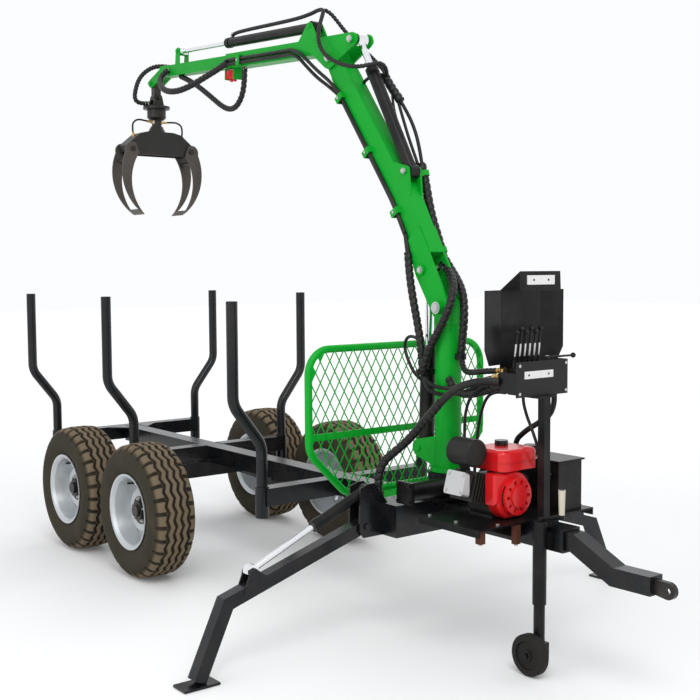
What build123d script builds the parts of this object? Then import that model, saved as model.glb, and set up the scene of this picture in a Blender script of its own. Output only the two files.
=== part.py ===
from build123d import *
import os
from math import atan2, cos, hypot, radians, sin, tan

os.makedirs("parts", exist_ok=True)

# Log trailer with crane, in millimetres. Drawn with x = 0 at the bogie pivot, x forward to the
# tow eye, y left, z up from the ground. Export moves x so that 0 is the middle of the length.

# Running gear
TYRE_R, TYRE_W = 380, 264
RIM_R, RIM_W = 196, 230
FLANGE_R = 214
WHEEL_X, WHEEL_Y = 424, 690
AXLE_Z = TYRE_R
STUB_R = 24
RUN_GAP = 0.3                       # radial gap of every turning fit
SIDE_GAP = 3                        # side gap between cheeks and what turns between them

# Frame
SPINE_W, SPINE_H, SPINE_TOP, SPINE_WALL = 110, 100, 630, 8
SPINE_FRONT = 2950
BUNK_W, BUNK_H, BUNK_TOP, BUNK_WALL = 90, 90, 632, 6
BUNK_X = (-1145, -10, 1387)         # rear, middle, front
STAKE_Y, STAKE_TOP_Y, STAKE_TOP = 538, 704, 1579
STAKE_R, STAKE_WALL = 29, 4
SOCKET_R, SOCKET_BOTTOM, SOCKET_TOP = 35, 480, 640
SOCKET_FLOOR = 6
STAKE_FIT = 0.2
BAR_W, BAR_H = 80, 78               # drawbar tube
EYE_X, EYE_Z, EYE_R, EYE_T, EYE_FRONT = 3446, 473, 14, 25, 3480

# Headboard
HEAD_X, HEAD_HALF, HEAD_TOP, HEAD_FOOT = 1830, 564, 1356, 650
TUBE_R = 18
HEAD_CORNER_R = 120
CROSSBAR_Z, CROSSBAR_H, CROSSBAR_T = 940, 32, 8
MESH_T, MESH_W, MESH_H, STRAND = 3, 56.4, 100, 5

# Stabilisers
STAB_X0, STAB_X1, STAB_HALF, STAB_BOTTOM, STAB_TOP = 2024, 2213, 349, 500, 650
LEG_X, LEG_T = 2070, 60
LEG_PIVOT_Y, LEG_PIVOT_Z = 440, 550
LEG_BEND = (741, -223)              # from the pivot, outward and up
LEG_FOOT = (884, -530)
LEG_EAR = (610, -107)
LEG_CYL_Y, LEG_CYL_Z = 420, 712
EAR_T = 10
FOOT_L, FOOT_W, FOOT_T = 170, 100, 10

# Crane, as points (x, z) in the middle plane
COL_X, COL_R, COL_BOTTOM, COL_TOP = 2185, 63.5, 772, 1470
BOOM_PIVOT = (2185, 1551)
LIFT_FOOT, LIFT_HEAD = (2030, 868), (2060, 1728)
BOOM_KINK = (1880, 2100)
JIB_PIVOT = (1333, 2834)
JIB_CYL_FOOT, JIB_CYL_HEAD = (1924, 2208), (1529, 2900)
JIB_TILT = 3.7                      # the jib rises this much to the rear
BOOM_W, BOOM_H = 86, 120
CHEEK_T = 12                        # plates beside the boom's foot and the jib's heel
HEEL_HALF = BOOM_W / 2 + SIDE_GAP   # inner face of the jib's plates
HEAD_BLOCK_HALF = BOOM_W / 2 - SIDE_GAP
LIFT_R, LIFT_ROD_R, LIFT_NOSE, LIFT_ROD_IN = 38, 20, 490, 380
JIB_CYL_R, JIB_ROD_R, JIB_CYL_NOSE, JIB_ROD_IN = 31, 17, 615, 180
LEG_CYL_R, LEG_ROD_R, LEG_CYL_NOSE, LEG_ROD_IN = 25, 14, 326, 262
JIB_LIFT = 70                       # jib centre line above its pivot
JIB_W, JIB_H, JIB_WALL, JIB_START, JIB_END = 92, 84, 6, 62, 1041
EXT_W, EXT_H, EXT_WALL, EXT_START, EXT_END = 77, 69, 6, 562, 1868
TELE_LIFT = 185                     # ram over the jib, above the pivot
TELE_PIN, TELE_NOSE, TELE_EYE, TELE_ROD_IN = 206, 1090, 1645, 735
TELE_R, TELE_ROD_R = 28, 14
LINK_S, LINK_N = 1991, 5            # swing pin along and across the jib
LINK_DROP = 92                      # from the swing pin down to the sway pin
ROTOR_UNDER, ROTOR_H = 37.5, 110    # rotator: below the sway pin, and its height
GRAB_UNDER, GRAB_H = 82, 146        # grapple housing: below the rotator, and its height
TINE_Y, TINE_RISE = 215, 25         # tine pins, and their height over the housing's floor
TINE_TIP_Y, TINE_DROP = 140, 425    # tips, and their depth under the pins
TINE_T, TINE_X = 12, 66             # plate thickness, and inner face from the middle

# Front equipment
HOSE_R, BUNDLE_R, RETURN_R, SEAT_GAP = 9.5, 20, 12.5, 0.4
DECK_X0, DECK_X1, DECK_HALF, DECK_TOP, DECK_T = 2385, 2765, 365, 640, 8
CRANK_Y, CRANK_Z = -85, 742
POST_X, POST_TOP = SPINE_FRONT - 158, 1176
LEVERS, LEVER_PITCH = 6, 30
JACK_X, JACK_Y, JACK_R, JACK_STEM_R = SPINE_FRONT - 90, -98, 30, 24.5
JOCKEY_R, JOCKEY_W = 90, 45

MID_X = (EYE_FRONT + BUNK_X[0] - BUNK_W / 2) / 2
written = {}


def save(name, shape):
    # One named node, moved to the middle of the length
    solid = Pos(-MID_X, 0, 0) * shape
    solid.label = name
    export_step(solid, f"parts/{name}.step")
    written[name] = solid


def block(x0, x1, y0, y1, z0, z1):
    return Pos((x0 + x1) / 2, (y0 + y1) / 2, (z0 + z1) / 2) * Box(x1 - x0, y1 - y0, z1 - z0)


def bar(start, end, radius):
    # Round bar between two points
    a, b = Vector(*start), Vector(*end)
    return Plane(origin=(a + b) / 2, z_dir=b - a) * Cylinder(radius, (b - a).length)


def pin_y(point, radius, y0, y1):
    # Round bar along y at (x, z)
    return bar((point[0], y0, point[1]), (point[0], y1, point[1]), radius)


def plate_y(points, y0, y1):
    # Flat plate of an outline in (x, z), between two values of y
    face = make_face(Polyline(*[(x, y0, z) for x, z in points], close=True))
    return extrude(face, amount=y1 - y0, dir=(0, 1, 0))


def plate_x(points, x0, x1):
    # Flat plate of an outline in (y, z), between two values of x
    face = make_face(Polyline(*[(x0, y, z) for y, z in points], close=True))
    return extrude(face, amount=x1 - x0, dir=(1, 0, 0))


def strip(points, width):
    # Outline of a band along a bent line, mitred at its bends
    left, right = [], []
    for i, (px, pz) in enumerate(points):
        ahead, back = points[min(i + 1, len(points) - 1)], points[max(i - 1, 0)]
        turn = [atan2(b[1] - a[1], b[0] - a[0]) for a, b in ((back, (px, pz)), ((px, pz), ahead)) if a != b]
        mid = sum(turn) / len(turn)
        reach = width / 2 / cos((turn[-1] - turn[0]) / 2)
        left.append((px - reach * sin(mid), pz + reach * cos(mid)))
        right.append((px + reach * sin(mid), pz - reach * cos(mid)))
    return left + right[::-1]


def tube(points, radii, radius, wall=0):
    # Pipe along straight runs and tangent arcs
    path = FilletPolyline(*points, radius=radii)
    start = Plane(origin=path @ 0, z_dir=path % 0)
    section = Circle(radius) - Circle(radius - wall) if wall else Circle(radius)
    return sweep(start * section, path=path)


def hose(name, points, radius):
    # Round hose: each arc is as large as its two runs allow
    at = [Vector(*p) for p in points]
    radii = []
    for a, b, c in zip(at, at[1:], at[2:]):
        turn = radians((b - a).get_angle(c - b))
        radii.append(0.45 * min((b - a).length, (c - b).length) / tan(turn / 2))
    print(name, "bend radii", [round(r) for r in radii])
    return tube(points, radii, radius)


def hull_plate(discs, y0, y1):
    # Plate with rounded corners, an outline round discs given as (x, z, radius)
    face = make_hull([e for x, z, r in discs for e in (Pos(x, z) * Circle(r)).edges()])
    return extrude(Plane(origin=(0, y0, 0), x_dir=(1, 0, 0), z_dir=(0, -1, 0)) * face, amount=-(y1 - y0))


def along(origin, angle, s, n):
    # Point at s along and n across a line from origin, in (x, z)
    return (origin[0] + s * cos(angle) - n * sin(angle), origin[1] + s * sin(angle) + n * cos(angle))


# Frame

spine_start = BUNK_X[0] + BUNK_W / 2
spine_z = SPINE_TOP - SPINE_H / 2
spine = block(spine_start, SPINE_FRONT, -SPINE_W / 2, SPINE_W / 2, SPINE_TOP - SPINE_H, SPINE_TOP)
hollow = block(spine_start, SPINE_FRONT + 1, -SPINE_W / 2 + SPINE_WALL, SPINE_W / 2 - SPINE_WALL,
               SPINE_TOP - SPINE_H + SPINE_WALL, SPINE_TOP - SPINE_WALL)
save("spine_beam", spine - hollow)

# Bunks, each a cross tube with a stake socket at both ends
bunks = []
for x in BUNK_X:
    beam = block(x - BUNK_W / 2, x + BUNK_W / 2, -STAKE_Y, STAKE_Y, BUNK_TOP - BUNK_H, BUNK_TOP)
    beam -= block(x - BUNK_W / 2 + BUNK_WALL, x + BUNK_W / 2 - BUNK_WALL, -STAKE_Y, STAKE_Y,
                  BUNK_TOP - BUNK_H + BUNK_WALL, BUNK_TOP - BUNK_WALL)
    for side in (-1, 1):
        beam += bar((x, side * STAKE_Y, SOCKET_BOTTOM), (x, side * STAKE_Y, SOCKET_TOP), SOCKET_R)
    for side in (-1, 1):
        beam -= bar((x, side * STAKE_Y, SOCKET_BOTTOM + SOCKET_FLOOR), (x, side * STAKE_Y, SOCKET_TOP + 1),
                    STAKE_R + STAKE_FIT)
        # Gusset between the beam and the spine
        if x == BUNK_X[0]:
            edge = x + BUNK_W / 2
            corner = [(edge, side * SPINE_W / 2), (edge + 120, side * SPINE_W / 2),
                      (edge, side * (SPINE_W / 2 + 120))]
            face = make_face(Polyline(*[(a, b, BUNK_TOP - 8) for a, b in corner], close=True))
            beam += extrude(face, amount=8, dir=(0, 0, 1))
    if x != BUNK_X[0]:
        beam -= block(x - BUNK_W, x + BUNK_W, -SPINE_W / 2, SPINE_W / 2, 0, 2 * BUNK_TOP)
    bunks.append(beam)
save("bunk_rear", bunks[0])
save("bunks", Compound(children=bunks[1:]))

# Stakes, round tubes cranked outward above the bunk
stakes = []
for x in BUNK_X:
    for side in (-1, 1):
        bends = [(x, side * STAKE_Y, SOCKET_BOTTOM + SOCKET_FLOOR), (x, side * STAKE_Y, 852),
                 (x, side * STAKE_TOP_Y, 1065), (x, side * STAKE_TOP_Y, STAKE_TOP)]
        stakes.append(tube(bends, 130, STAKE_R, STAKE_WALL))
save("stakes", Compound(children=stakes))

# Drawbar, a cranked tube bolted in the spine's front end, and its eye
bar_half = BAR_W / 2
drawbar_line = [(2700, spine_z), (2985, spine_z), (3195, 480), (3385, 482)]
inside = SPINE_W / 2 - SPINE_WALL
drawbar = plate_y(strip(drawbar_line, BAR_H), -bar_half, bar_half)
collar = block(SPINE_FRONT - 120, SPINE_FRONT - 6, -inside, inside, SPINE_TOP - SPINE_H + SPINE_WALL,
               SPINE_TOP - SPINE_WALL)
save("drawbar", drawbar + collar)

eye = hull_plate([(EYE_X - 61, EYE_Z + 5, 30), (EYE_X, EYE_Z, EYE_FRONT - EYE_X)], -EYE_T / 2, EYE_T / 2)
eye -= block(0, 3385.5, -100, 100, 0, 1000)
save("tow_eye", eye - pin_y((EYE_X, EYE_Z), EYE_R, -EYE_T, EYE_T))

# Running gear

axle_half, plate_t = 430, 14
axle_top = SPINE_TOP - SPINE_H
axle = block(-50, 50, -axle_half, axle_half, axle_top - 90, axle_top)
for side in (-1, 1):
    cheek = [(-50, axle_top), (50, axle_top), (50, AXLE_Z - 30), (25, AXLE_Z - 52), (-25, AXLE_Z - 52),
             (-50, AXLE_Z - 30)]
    inner = side * axle_half
    axle += plate_y(cheek, min(inner, inner - side * plate_t), max(inner, inner - side * plate_t))
    axle += pin_y((0, AXLE_Z), 32, min(inner, inner + side * 110), max(inner, inner + side * 110))
save("axle_beam", axle)

beam_y, beam_w = 490, 60
for tag, side in (("right", -1), ("left", 1)):
    y0, y1 = sorted((side * (beam_y - beam_w / 2), side * (beam_y + beam_w / 2)))
    walking = plate_y([(-WHEEL_X - 55, AXLE_Z + 30), (-WHEEL_X - 20, AXLE_Z + 50), (-90, AXLE_Z + 56),
                       (90, AXLE_Z + 56),
                       (WHEEL_X + 20, AXLE_Z + 50), (WHEEL_X + 55, AXLE_Z + 30), (WHEEL_X + 55, AXLE_Z - 40),
                       (90, AXLE_Z - 56), (-90, AXLE_Z - 56), (-WHEEL_X - 55, AXLE_Z - 40)], y0, y1)
    walking -= pin_y((0, AXLE_Z), 32, -1000, 1000)
    for x in (-WHEEL_X, WHEEL_X):
        ends = sorted((side * beam_y, side * (WHEEL_Y + 30)))
        walking += pin_y((x, AXLE_Z), STUB_R, *ends)
    save(f"bogie_{tag}", walking)

# Wheels: a tyre with flat crown, round shoulders and three grooves, and a dished steel rim
half = TYRE_W / 2
with BuildLine() as carcass:
    Polyline((RIM_R + 2, -RIM_W / 2 + 12), (RIM_R + 16, -RIM_W / 2 + 4), (FLANGE_R + 6, -RIM_W / 2 + 2))
    ThreePointArc((FLANGE_R + 6, -RIM_W / 2 + 2), (290, -half), (348, -half + 16))
    ThreePointArc((348, -half + 16), (367, -half + 24), (374, -half + 42))
    Line((374, -half + 42), (TYRE_R, -40))
    for y in (-40, 12):
        Polyline((TYRE_R, y), (TYRE_R - 12, y + 5), (TYRE_R - 12, y + 23), (TYRE_R, y + 28))
    Line((TYRE_R, -12), (TYRE_R, 12))
    Line((TYRE_R, 40), (374, half - 42))
    ThreePointArc((374, half - 42), (367, half - 24), (348, half - 16))
    ThreePointArc((348, half - 16), (290, half), (FLANGE_R + 6, RIM_W / 2 - 2))
    Polyline((FLANGE_R + 6, RIM_W / 2 - 2), (RIM_R + 16, RIM_W / 2 - 4), (RIM_R + 2, RIM_W / 2 - 12))
    Line((RIM_R + 2, RIM_W / 2 - 12), (RIM_R + 2, -RIM_W / 2 + 12))
tyre = revolve(make_face(carcass.line), axis=Axis.Y)

# Rim section as (radius, distance from the middle, outward positive)
rim_face = make_face(Polyline(
    (RIM_R + 2, -RIM_W / 2 + 12), (RIM_R + 12, -RIM_W / 2 + 2), (FLANGE_R, -RIM_W / 2 - 1),
    (FLANGE_R, -RIM_W / 2 - 7),
    (RIM_R + 6, -RIM_W / 2 - 4), (RIM_R - 6, -RIM_W / 2 + 10), (RIM_R - 20, -20), (RIM_R - 30, 6),
    (118, 30), (80, 22),
    (STUB_R + RUN_GAP, 22), (STUB_R + RUN_GAP, 30), (78, 30), (116, 38), (RIM_R - 26, 14),
    (RIM_R - 8, RIM_W / 2 - 12),
    (RIM_R + 6, RIM_W / 2 + 4), (FLANGE_R, RIM_W / 2 + 7), (FLANGE_R, RIM_W / 2 + 1),
    (RIM_R + 12, RIM_W / 2 - 2),
    (RIM_R + 2, RIM_W / 2 - 12), close=True))
rim = revolve(rim_face, axis=Axis.Y)
for i in range(8):
    rim -= Rot(0, 45 * i + 22.5, 0) * Pos(142, 0, 0) * bar((0, -60, 0), (0, 90, 0), 14)
hub = bar((0, -58, 0), (0, 56, 0), 52) + bar((0, 30, 0), (0, 40, 0), 78)
hub += bar((0, 50, 0), (0, 74, 0), 34)
rim = rim + hub - bar((0, -60, 0), (0, 36, 0), STUB_R + RUN_GAP)
for xtag, x in (("rear", -WHEEL_X), ("front", WHEEL_X)):
    for ytag, side in (("right", -1), ("left", 1)):
        place = Pos(x, side * WHEEL_Y, AXLE_Z) * Rot(0, 0, 0 if side > 0 else 180)
        save(f"tyre_{xtag}_{ytag}", place * tyre)
        save(f"rim_{xtag}_{ytag}", place * rim)

# Headboard: a bent tube frame on a saddle over the spine, filled with expanded metal
slope_z = HEAD_TOP - 490
half_loop = [(HEAD_X, 0, HEAD_FOOT), (HEAD_X, -345, HEAD_FOOT), (HEAD_X, -HEAD_HALF, slope_z),
             (HEAD_X, -HEAD_HALF, HEAD_TOP), (HEAD_X, 0, HEAD_TOP)]
right_half = tube(half_loop, (90, 120, HEAD_CORNER_R), TUBE_R)
frame = right_half + mirror(right_half, about=Plane.XZ)
frame += block(HEAD_X + TUBE_R - CROSSBAR_T, HEAD_X + TUBE_R, -HEAD_HALF, HEAD_HALF,
               CROSSBAR_Z - CROSSBAR_H / 2, CROSSBAR_Z + CROSSBAR_H / 2)
saddle_top = HEAD_FOOT - 10
saddle = block(HEAD_X - 45, HEAD_X + 45, -SPINE_W / 2 - 10, SPINE_W / 2 + 10, SPINE_TOP - 62, saddle_top)
saddle -= block(HEAD_X - 50, HEAD_X + 50, -SPINE_W / 2, SPINE_W / 2, 0, SPINE_TOP)
save("headboard_frame", frame + saddle)

outline = Polyline((345, HEAD_FOOT), (HEAD_HALF, slope_z), (HEAD_HALF, HEAD_TOP), (-HEAD_HALF, HEAD_TOP),
                   (-HEAD_HALF, slope_z), (-345, HEAD_FOOT), close=True)
sheet = make_face(outline)
sheet = fillet(sheet.vertices().group_by(Axis.Y)[-1], HEAD_CORNER_R)
window = offset(sheet, -8)
half_w, half_h = MESH_W / 2 - STRAND * 0.57, MESH_H / 2 - STRAND * 1.02
diamond = make_face(Polyline((half_w, 0), (0, half_h), (-half_w, 0), (0, -half_h), close=True))
cells = []
for row in range(16):
    for col in range(-11, 12):
        cy = (col + 0.5 * (row % 2)) * MESH_W
        cz = HEAD_FOOT + row * MESH_H / 2
        cell = (Pos(cy, cz) * diamond) & window
        # A cell cut by the edge counts while most of a quarter of it is left
        if cell and cell.area > diamond.area * 0.2:
            cells.append(cell)
mesh_face = sheet - cells
mesh_plane = Plane(origin=(HEAD_X + TUBE_R + 0.2, 0, 0), x_dir=(0, 1, 0), z_dir=(1, 0, 0))
save("headboard_mesh", extrude(mesh_plane * mesh_face, amount=MESH_T))
print("frame and running gear done")

# Stabilisers: a cross box over the spine with ears at both ends

stab = block(STAB_X0, STAB_X1, -STAB_HALF, STAB_HALF, STAB_BOTTOM, STAB_TOP)
stab -= block(0, 3000, -SPINE_W / 2, SPINE_W / 2, SPINE_TOP - SPINE_H, SPINE_TOP)
ear_in, ear_out = LEG_T / 2 + SIDE_GAP, LEG_T / 2 + SIDE_GAP + EAR_T
for side in (-1, 1):
    ear = [(side * y, z) for y, z in ((STAB_HALF - 30, STAB_BOTTOM), (LEG_PIVOT_Y + 20, STAB_BOTTOM),
                                      (LEG_PIVOT_Y + 45, STAB_BOTTOM + 30),
                                      (LEG_PIVOT_Y + 38, LEG_CYL_Z + 20),
                                      (LEG_CYL_Y + 12, LEG_CYL_Z + 36), (LEG_CYL_Y - 22, LEG_CYL_Z + 36),
                                      (STAB_HALF - 30, STAB_TOP))]
    for x0 in (LEG_X - ear_out, LEG_X + ear_in):
        stab += plate_x(ear, x0, x0 + EAR_T)
    for y, z, r in ((LEG_PIVOT_Y, LEG_PIVOT_Z, 17), (LEG_CYL_Y, LEG_CYL_Z, 13)):
        stab += bar((LEG_X - ear_out - 8, side * y, z), (LEG_X + ear_out + 8, side * y, z), r)
save("stabiliser_beam", stab)

# Slew drive: a base plate, a round housing under the column and the rack's cylinder across it
housing = block(STAB_X0, STAB_X1 + 70, -150, 150, STAB_TOP, STAB_TOP + 16)
housing += bar((COL_X, 0, STAB_TOP), (COL_X, 0, COL_BOTTOM - 2), 96)
rack_x, rack_z, rack_half = COL_X + 66, STAB_TOP + 64, 335
housing += bar((rack_x, -rack_half, rack_z), (rack_x, rack_half, rack_z), 42)
for side in (-1, 1):
    y0, y1 = sorted((side * rack_half, side * (rack_half - 18)))
    housing += block(rack_x - 52, rack_x + 52, y0, y1, rack_z - 52, rack_z + 52)
    for dx, dz in ((-38, -38), (38, -38), (38, 38), (-38, 38)):
        housing += bar((rack_x + dx, side * (rack_half - 5), rack_z + dz),
                       (rack_x + dx, side * (rack_half + 9), rack_z + dz), 9)
spigot_r = 40
save("slew_housing", housing - bar((COL_X, 0, COL_BOTTOM - 50), (COL_X, 0, COL_BOTTOM), spigot_r + RUN_GAP))


def ram(foot, head, plane, nose, rod_in, barrel_r, rod_r, eye_half):
    # Barrel with a foot eye, and rod with a head eye. plane maps (a, z, across) to a point
    length = hypot(head[0] - foot[0], head[1] - foot[1])
    turn = atan2(head[1] - foot[1], head[0] - foot[0])
    at = lambda s, off=0: plane(*along(foot, turn, s, 0), off)
    foot_r, head_r = barrel_r + 2, rod_r + 14
    body = bar(at(0), at(nose), barrel_r) + bar(at(0, -eye_half), at(0, eye_half), foot_r)
    body += bar(at(nose - 34), at(nose), barrel_r + 3)
    body -= bar(at(foot_r + 8), at(nose + 1), rod_r + RUN_GAP)
    shaft = bar(at(rod_in), at(length - head_r + 6), rod_r)
    shaft += bar(at(length, -eye_half), at(length, eye_half), head_r)
    return body, shaft, head_r


in_xz = lambda x, z, off=0: (x, off, z)

for tag, side in (("right", -1), ("left", 1)):
    in_yz = lambda y, z, off=0: (LEG_X + off, side * y, z)
    pivot = (LEG_PIVOT_Y, LEG_PIVOT_Z)
    bend, foot, hook = [(pivot[0] + a, pivot[1] + b) for a, b in (LEG_BEND, LEG_FOOT, LEG_EAR)]
    body, shaft, _ = ram((LEG_CYL_Y, LEG_CYL_Z), hook, in_yz, LEG_CYL_NOSE, LEG_ROD_IN, LEG_CYL_R,
                         LEG_ROD_R, LEG_T / 2 - 10)
    body -= bar(in_yz(LEG_CYL_Y, LEG_CYL_Z, -99), in_yz(LEG_CYL_Y, LEG_CYL_Z, 99), 13 + RUN_GAP)
    save(f"leg_barrel_{tag}", body)
    save(f"leg_rod_{tag}", shaft - bar(in_yz(*hook, -99), in_yz(*hook, 99), 14))
    # Leg: a bent square tube with a boss at the pivot, ears for the ram and a foot plate
    band = [(side * y, z) for y, z in strip([pivot, bend, (foot[0], foot[1])], LEG_T)]
    leg = plate_x(band, LEG_X - LEG_T / 2, LEG_X + LEG_T / 2)
    leg += bar(in_yz(*pivot, -LEG_T / 2), in_yz(*pivot, LEG_T / 2), LEG_T / 2 + 4)
    leg -= bar(in_yz(*pivot, -99), in_yz(*pivot, 99), 17 + RUN_GAP)
    leg -= block(0, 4000, -2000, 2000, -200, FOOT_T / 2)
    leg += block(LEG_X - FOOT_W / 2, LEG_X + FOOT_W / 2, side * foot[0] - FOOT_L / 2,
                 side * foot[0] + FOOT_L / 2, 0, FOOT_T)
    lean = atan2(LEG_BEND[1], LEG_BEND[0])
    rise = [along(pivot, lean, s, n) for s, n in ((540, 0), (700, 0), (650, 60), (636, 84), (604, 84),
                                                  (588, 60))]
    for off in (-LEG_T / 2 - 2, LEG_T / 2 - 6):
        leg += plate_x([(side * y, z) for y, z in rise], LEG_X + off, LEG_X + off + 8)
    save(f"stabiliser_leg_{tag}", leg)

# Crane column with the head that carries the boom and the ears that carry the lift ram

column = bar((COL_X, 0, COL_BOTTOM), (COL_X, 0, COL_TOP), COL_R)
column += bar((COL_X, 0, COL_BOTTOM - 40), (COL_X, 0, COL_BOTTOM + 5), spigot_r)
column += bar((COL_X, 0, COL_BOTTOM), (COL_X, 0, COL_BOTTOM + 22), COL_R + 22)
head = hull_plate([(*BOOM_PIVOT, 56), (COL_X - 46, COL_TOP - 20, 10), (COL_X + 46, COL_TOP - 20, 10)],
                  -HEAD_BLOCK_HALF, HEAD_BLOCK_HALF)
column += head - pin_y(BOOM_PIVOT, 26 + RUN_GAP, -99, 99)
lift_eye_half = LIFT_R
for side in (-1, 1):
    y0, y1 = sorted((side * (lift_eye_half + SIDE_GAP), side * (lift_eye_half + SIDE_GAP + 12)))
    column += hull_plate([(*LIFT_FOOT, 42), (COL_X - 30, LIFT_FOOT[1] + 50, 20),
                          (COL_X - 30, LIFT_FOOT[1] - 60, 20)], y0, y1)
reach = lift_eye_half + SIDE_GAP + 20
save("column", column + pin_y(LIFT_FOOT, 16, -reach, reach))

body, shaft, _ = ram(LIFT_FOOT, LIFT_HEAD, in_xz, LIFT_NOSE, LIFT_ROD_IN, LIFT_R, LIFT_ROD_R, lift_eye_half)
save("lift_barrel", body - pin_y(LIFT_FOOT, 16 + RUN_GAP, -99, 99))
save("lift_rod", shaft - pin_y(LIFT_HEAD, 18, -99, 99))

# Boom: a bent box with foot cheeks, a tip boss and ears for the jib ram
lower = atan2(BOOM_KINK[1] - BOOM_PIVOT[1], BOOM_KINK[0] - BOOM_PIVOT[0])
upper = atan2(JIB_PIVOT[1] - BOOM_KINK[1], JIB_PIVOT[0] - BOOM_KINK[0])
tip_len = hypot(JIB_PIVOT[0] - BOOM_KINK[0], JIB_PIVOT[1] - BOOM_KINK[1])
boom_line = [along(BOOM_PIVOT, lower, 268, 0), BOOM_KINK, along(BOOM_KINK, upper, tip_len - 92, 0)]
boom = plate_y(strip(boom_line, BOOM_H), -BOOM_W / 2, BOOM_W / 2)
neck = hull_plate([(*JIB_PIVOT, 46), (*along(BOOM_KINK, upper, tip_len - 100, 30), 26),
                   (*along(BOOM_KINK, upper, tip_len - 100, -30), 26)], -BOOM_W / 2, BOOM_W / 2)
boom += neck
for side in (-1, 1):
    y0, y1 = sorted((side * BOOM_W / 2, side * (BOOM_W / 2 + CHEEK_T)))
    boom += hull_plate([(*BOOM_PIVOT, 60), (*LIFT_HEAD, 52), (*along(BOOM_PIVOT, lower, 372, 40), 16),
                        (*along(BOOM_PIVOT, lower, 400, -40), 16)], y0, y1)
    for point, r, cap in ((BOOM_PIVOT, 30, 26), (LIFT_HEAD, 24, 12)):
        y0, y1 = sorted((side * (BOOM_W / 2), side * (BOOM_W / 2 + CHEEK_T + cap)))
        boom += pin_y(point, r, y0, y1)
    y0, y1 = sorted((side * (BOOM_W / 2 - 11), side * BOOM_W / 2))
    boom += hull_plate([(*JIB_CYL_FOOT, 26), (*along(BOOM_KINK, upper, -50, -54), 5),
                        (*along(BOOM_KINK, upper, 150, -54), 5)], y0, y1)
boom += pin_y(BOOM_PIVOT, 26, -BOOM_W / 2, BOOM_W / 2)
boom += pin_y(JIB_CYL_FOOT, 14, -BOOM_W / 2 - 10, BOOM_W / 2 + 10)
boom += pin_y(JIB_PIVOT, 24, -BOOM_W / 2 - 24, BOOM_W / 2 + 24)
save("boom", boom)

# Hoses on the boom: two clipped along its lower right edge, and the wrapped bundle beside the jib ram
lines = []
for tag, n, y in (("edge", 47, -BOOM_W / 2 - HOSE_R - SEAT_GAP),
                  ("under", BOOM_H / 2 + HOSE_R + SEAT_GAP, -34)):
    bend = along(BOOM_KINK, (upper + lower) / 2, 0, n / cos((upper - lower) / 2))
    run = [along(BOOM_KINK, upper, 715, n), bend, along(BOOM_PIVOT, lower, 430, n)]
    lines.append(hose(f"boom {tag}", [(x, y, z) for x, z in run], HOSE_R))
lines.append(hose("boom bundle", [(1627, 80, 2704), (1728, 80, 2590), (1820, 80, 2447), (1895, 82, 2293),
                                  (1930, 85, 2180),
                                  (1950, 88, 2065), (1995, 92, 1935), (2043, 95, 1803)], BUNDLE_R))
save("boom_hoses", Compound(children=lines))

jib_eye_half = BOOM_W / 2 - 11 - SIDE_GAP
body, shaft, _ = ram(JIB_CYL_FOOT, JIB_CYL_HEAD, in_xz, JIB_CYL_NOSE, JIB_ROD_IN, JIB_CYL_R, JIB_ROD_R,
                     jib_eye_half)
save("jib_barrel", body - pin_y(JIB_CYL_FOOT, 14 + RUN_GAP, -99, 99))
save("jib_rod", shaft - pin_y(JIB_CYL_HEAD, 15, -99, 99))

# Jib, drawn along its own line: s to the rear, n up
jib_turn = radians(180 - JIB_TILT)
jib_at = lambda s, n: along(JIB_PIVOT, jib_turn, s, -n)


def jib_box(s0, s1, height, width):
    corners = [(s0, -height / 2), (s1, -height / 2), (s1, height / 2), (s0, height / 2)]
    return plate_y([jib_at(s, JIB_LIFT + n) for s, n in corners], -width / 2, width / 2)


def jib_disc(s, n, r):
    return (*jib_at(s, n), r)


jib = jib_box(JIB_START, JIB_END, JIB_H, JIB_W) - jib_box(JIB_START + 12, JIB_END + 1, JIB_H - 2 * JIB_WALL,
                                                          JIB_W - 2 * JIB_WALL)
for side in (-1, 1):
    y0, y1 = sorted((side * HEEL_HALF, side * (HEEL_HALF + CHEEK_T)))
    cheek = hull_plate([(*JIB_PIVOT, 56), (*JIB_CYL_HEAD, 34), jib_disc(60, JIB_LIFT + 30, 12),
                        jib_disc(170, JIB_LIFT - 10, 14)], y0, y1)
    jib += cheek - pin_y(JIB_PIVOT, 24 + RUN_GAP, -999, 999)
    y0, y1 = sorted((side * (HEEL_HALF + 2), side * (HEEL_HALF + CHEEK_T + 14)))
    jib += pin_y(JIB_CYL_HEAD, 20, y0, y1)
    y0, y1 = sorted((side * (TELE_R + SIDE_GAP), side * (TELE_R + SIDE_GAP + 10)))
    jib += hull_plate([jib_disc(TELE_PIN, TELE_LIFT, 22), jib_disc(TELE_PIN - 70, JIB_LIFT + JIB_H / 2, 5),
                       jib_disc(TELE_PIN + 90, JIB_LIFT + JIB_H / 2, 5)], y0, y1)
# Bracket and valve under the jib's outer end
hang_s, hang_len, hang_h, hang_half = JIB_END - 60, 84, 64, 30
jib_floor = JIB_LIFT - JIB_H / 2


def jib_block(s0, s1, n0, n1, y0, y1):
    return plate_y([jib_at(s, n) for s, n in ((s0, n0), (s1, n0), (s1, n1), (s0, n1))], y0, y1)


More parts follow.
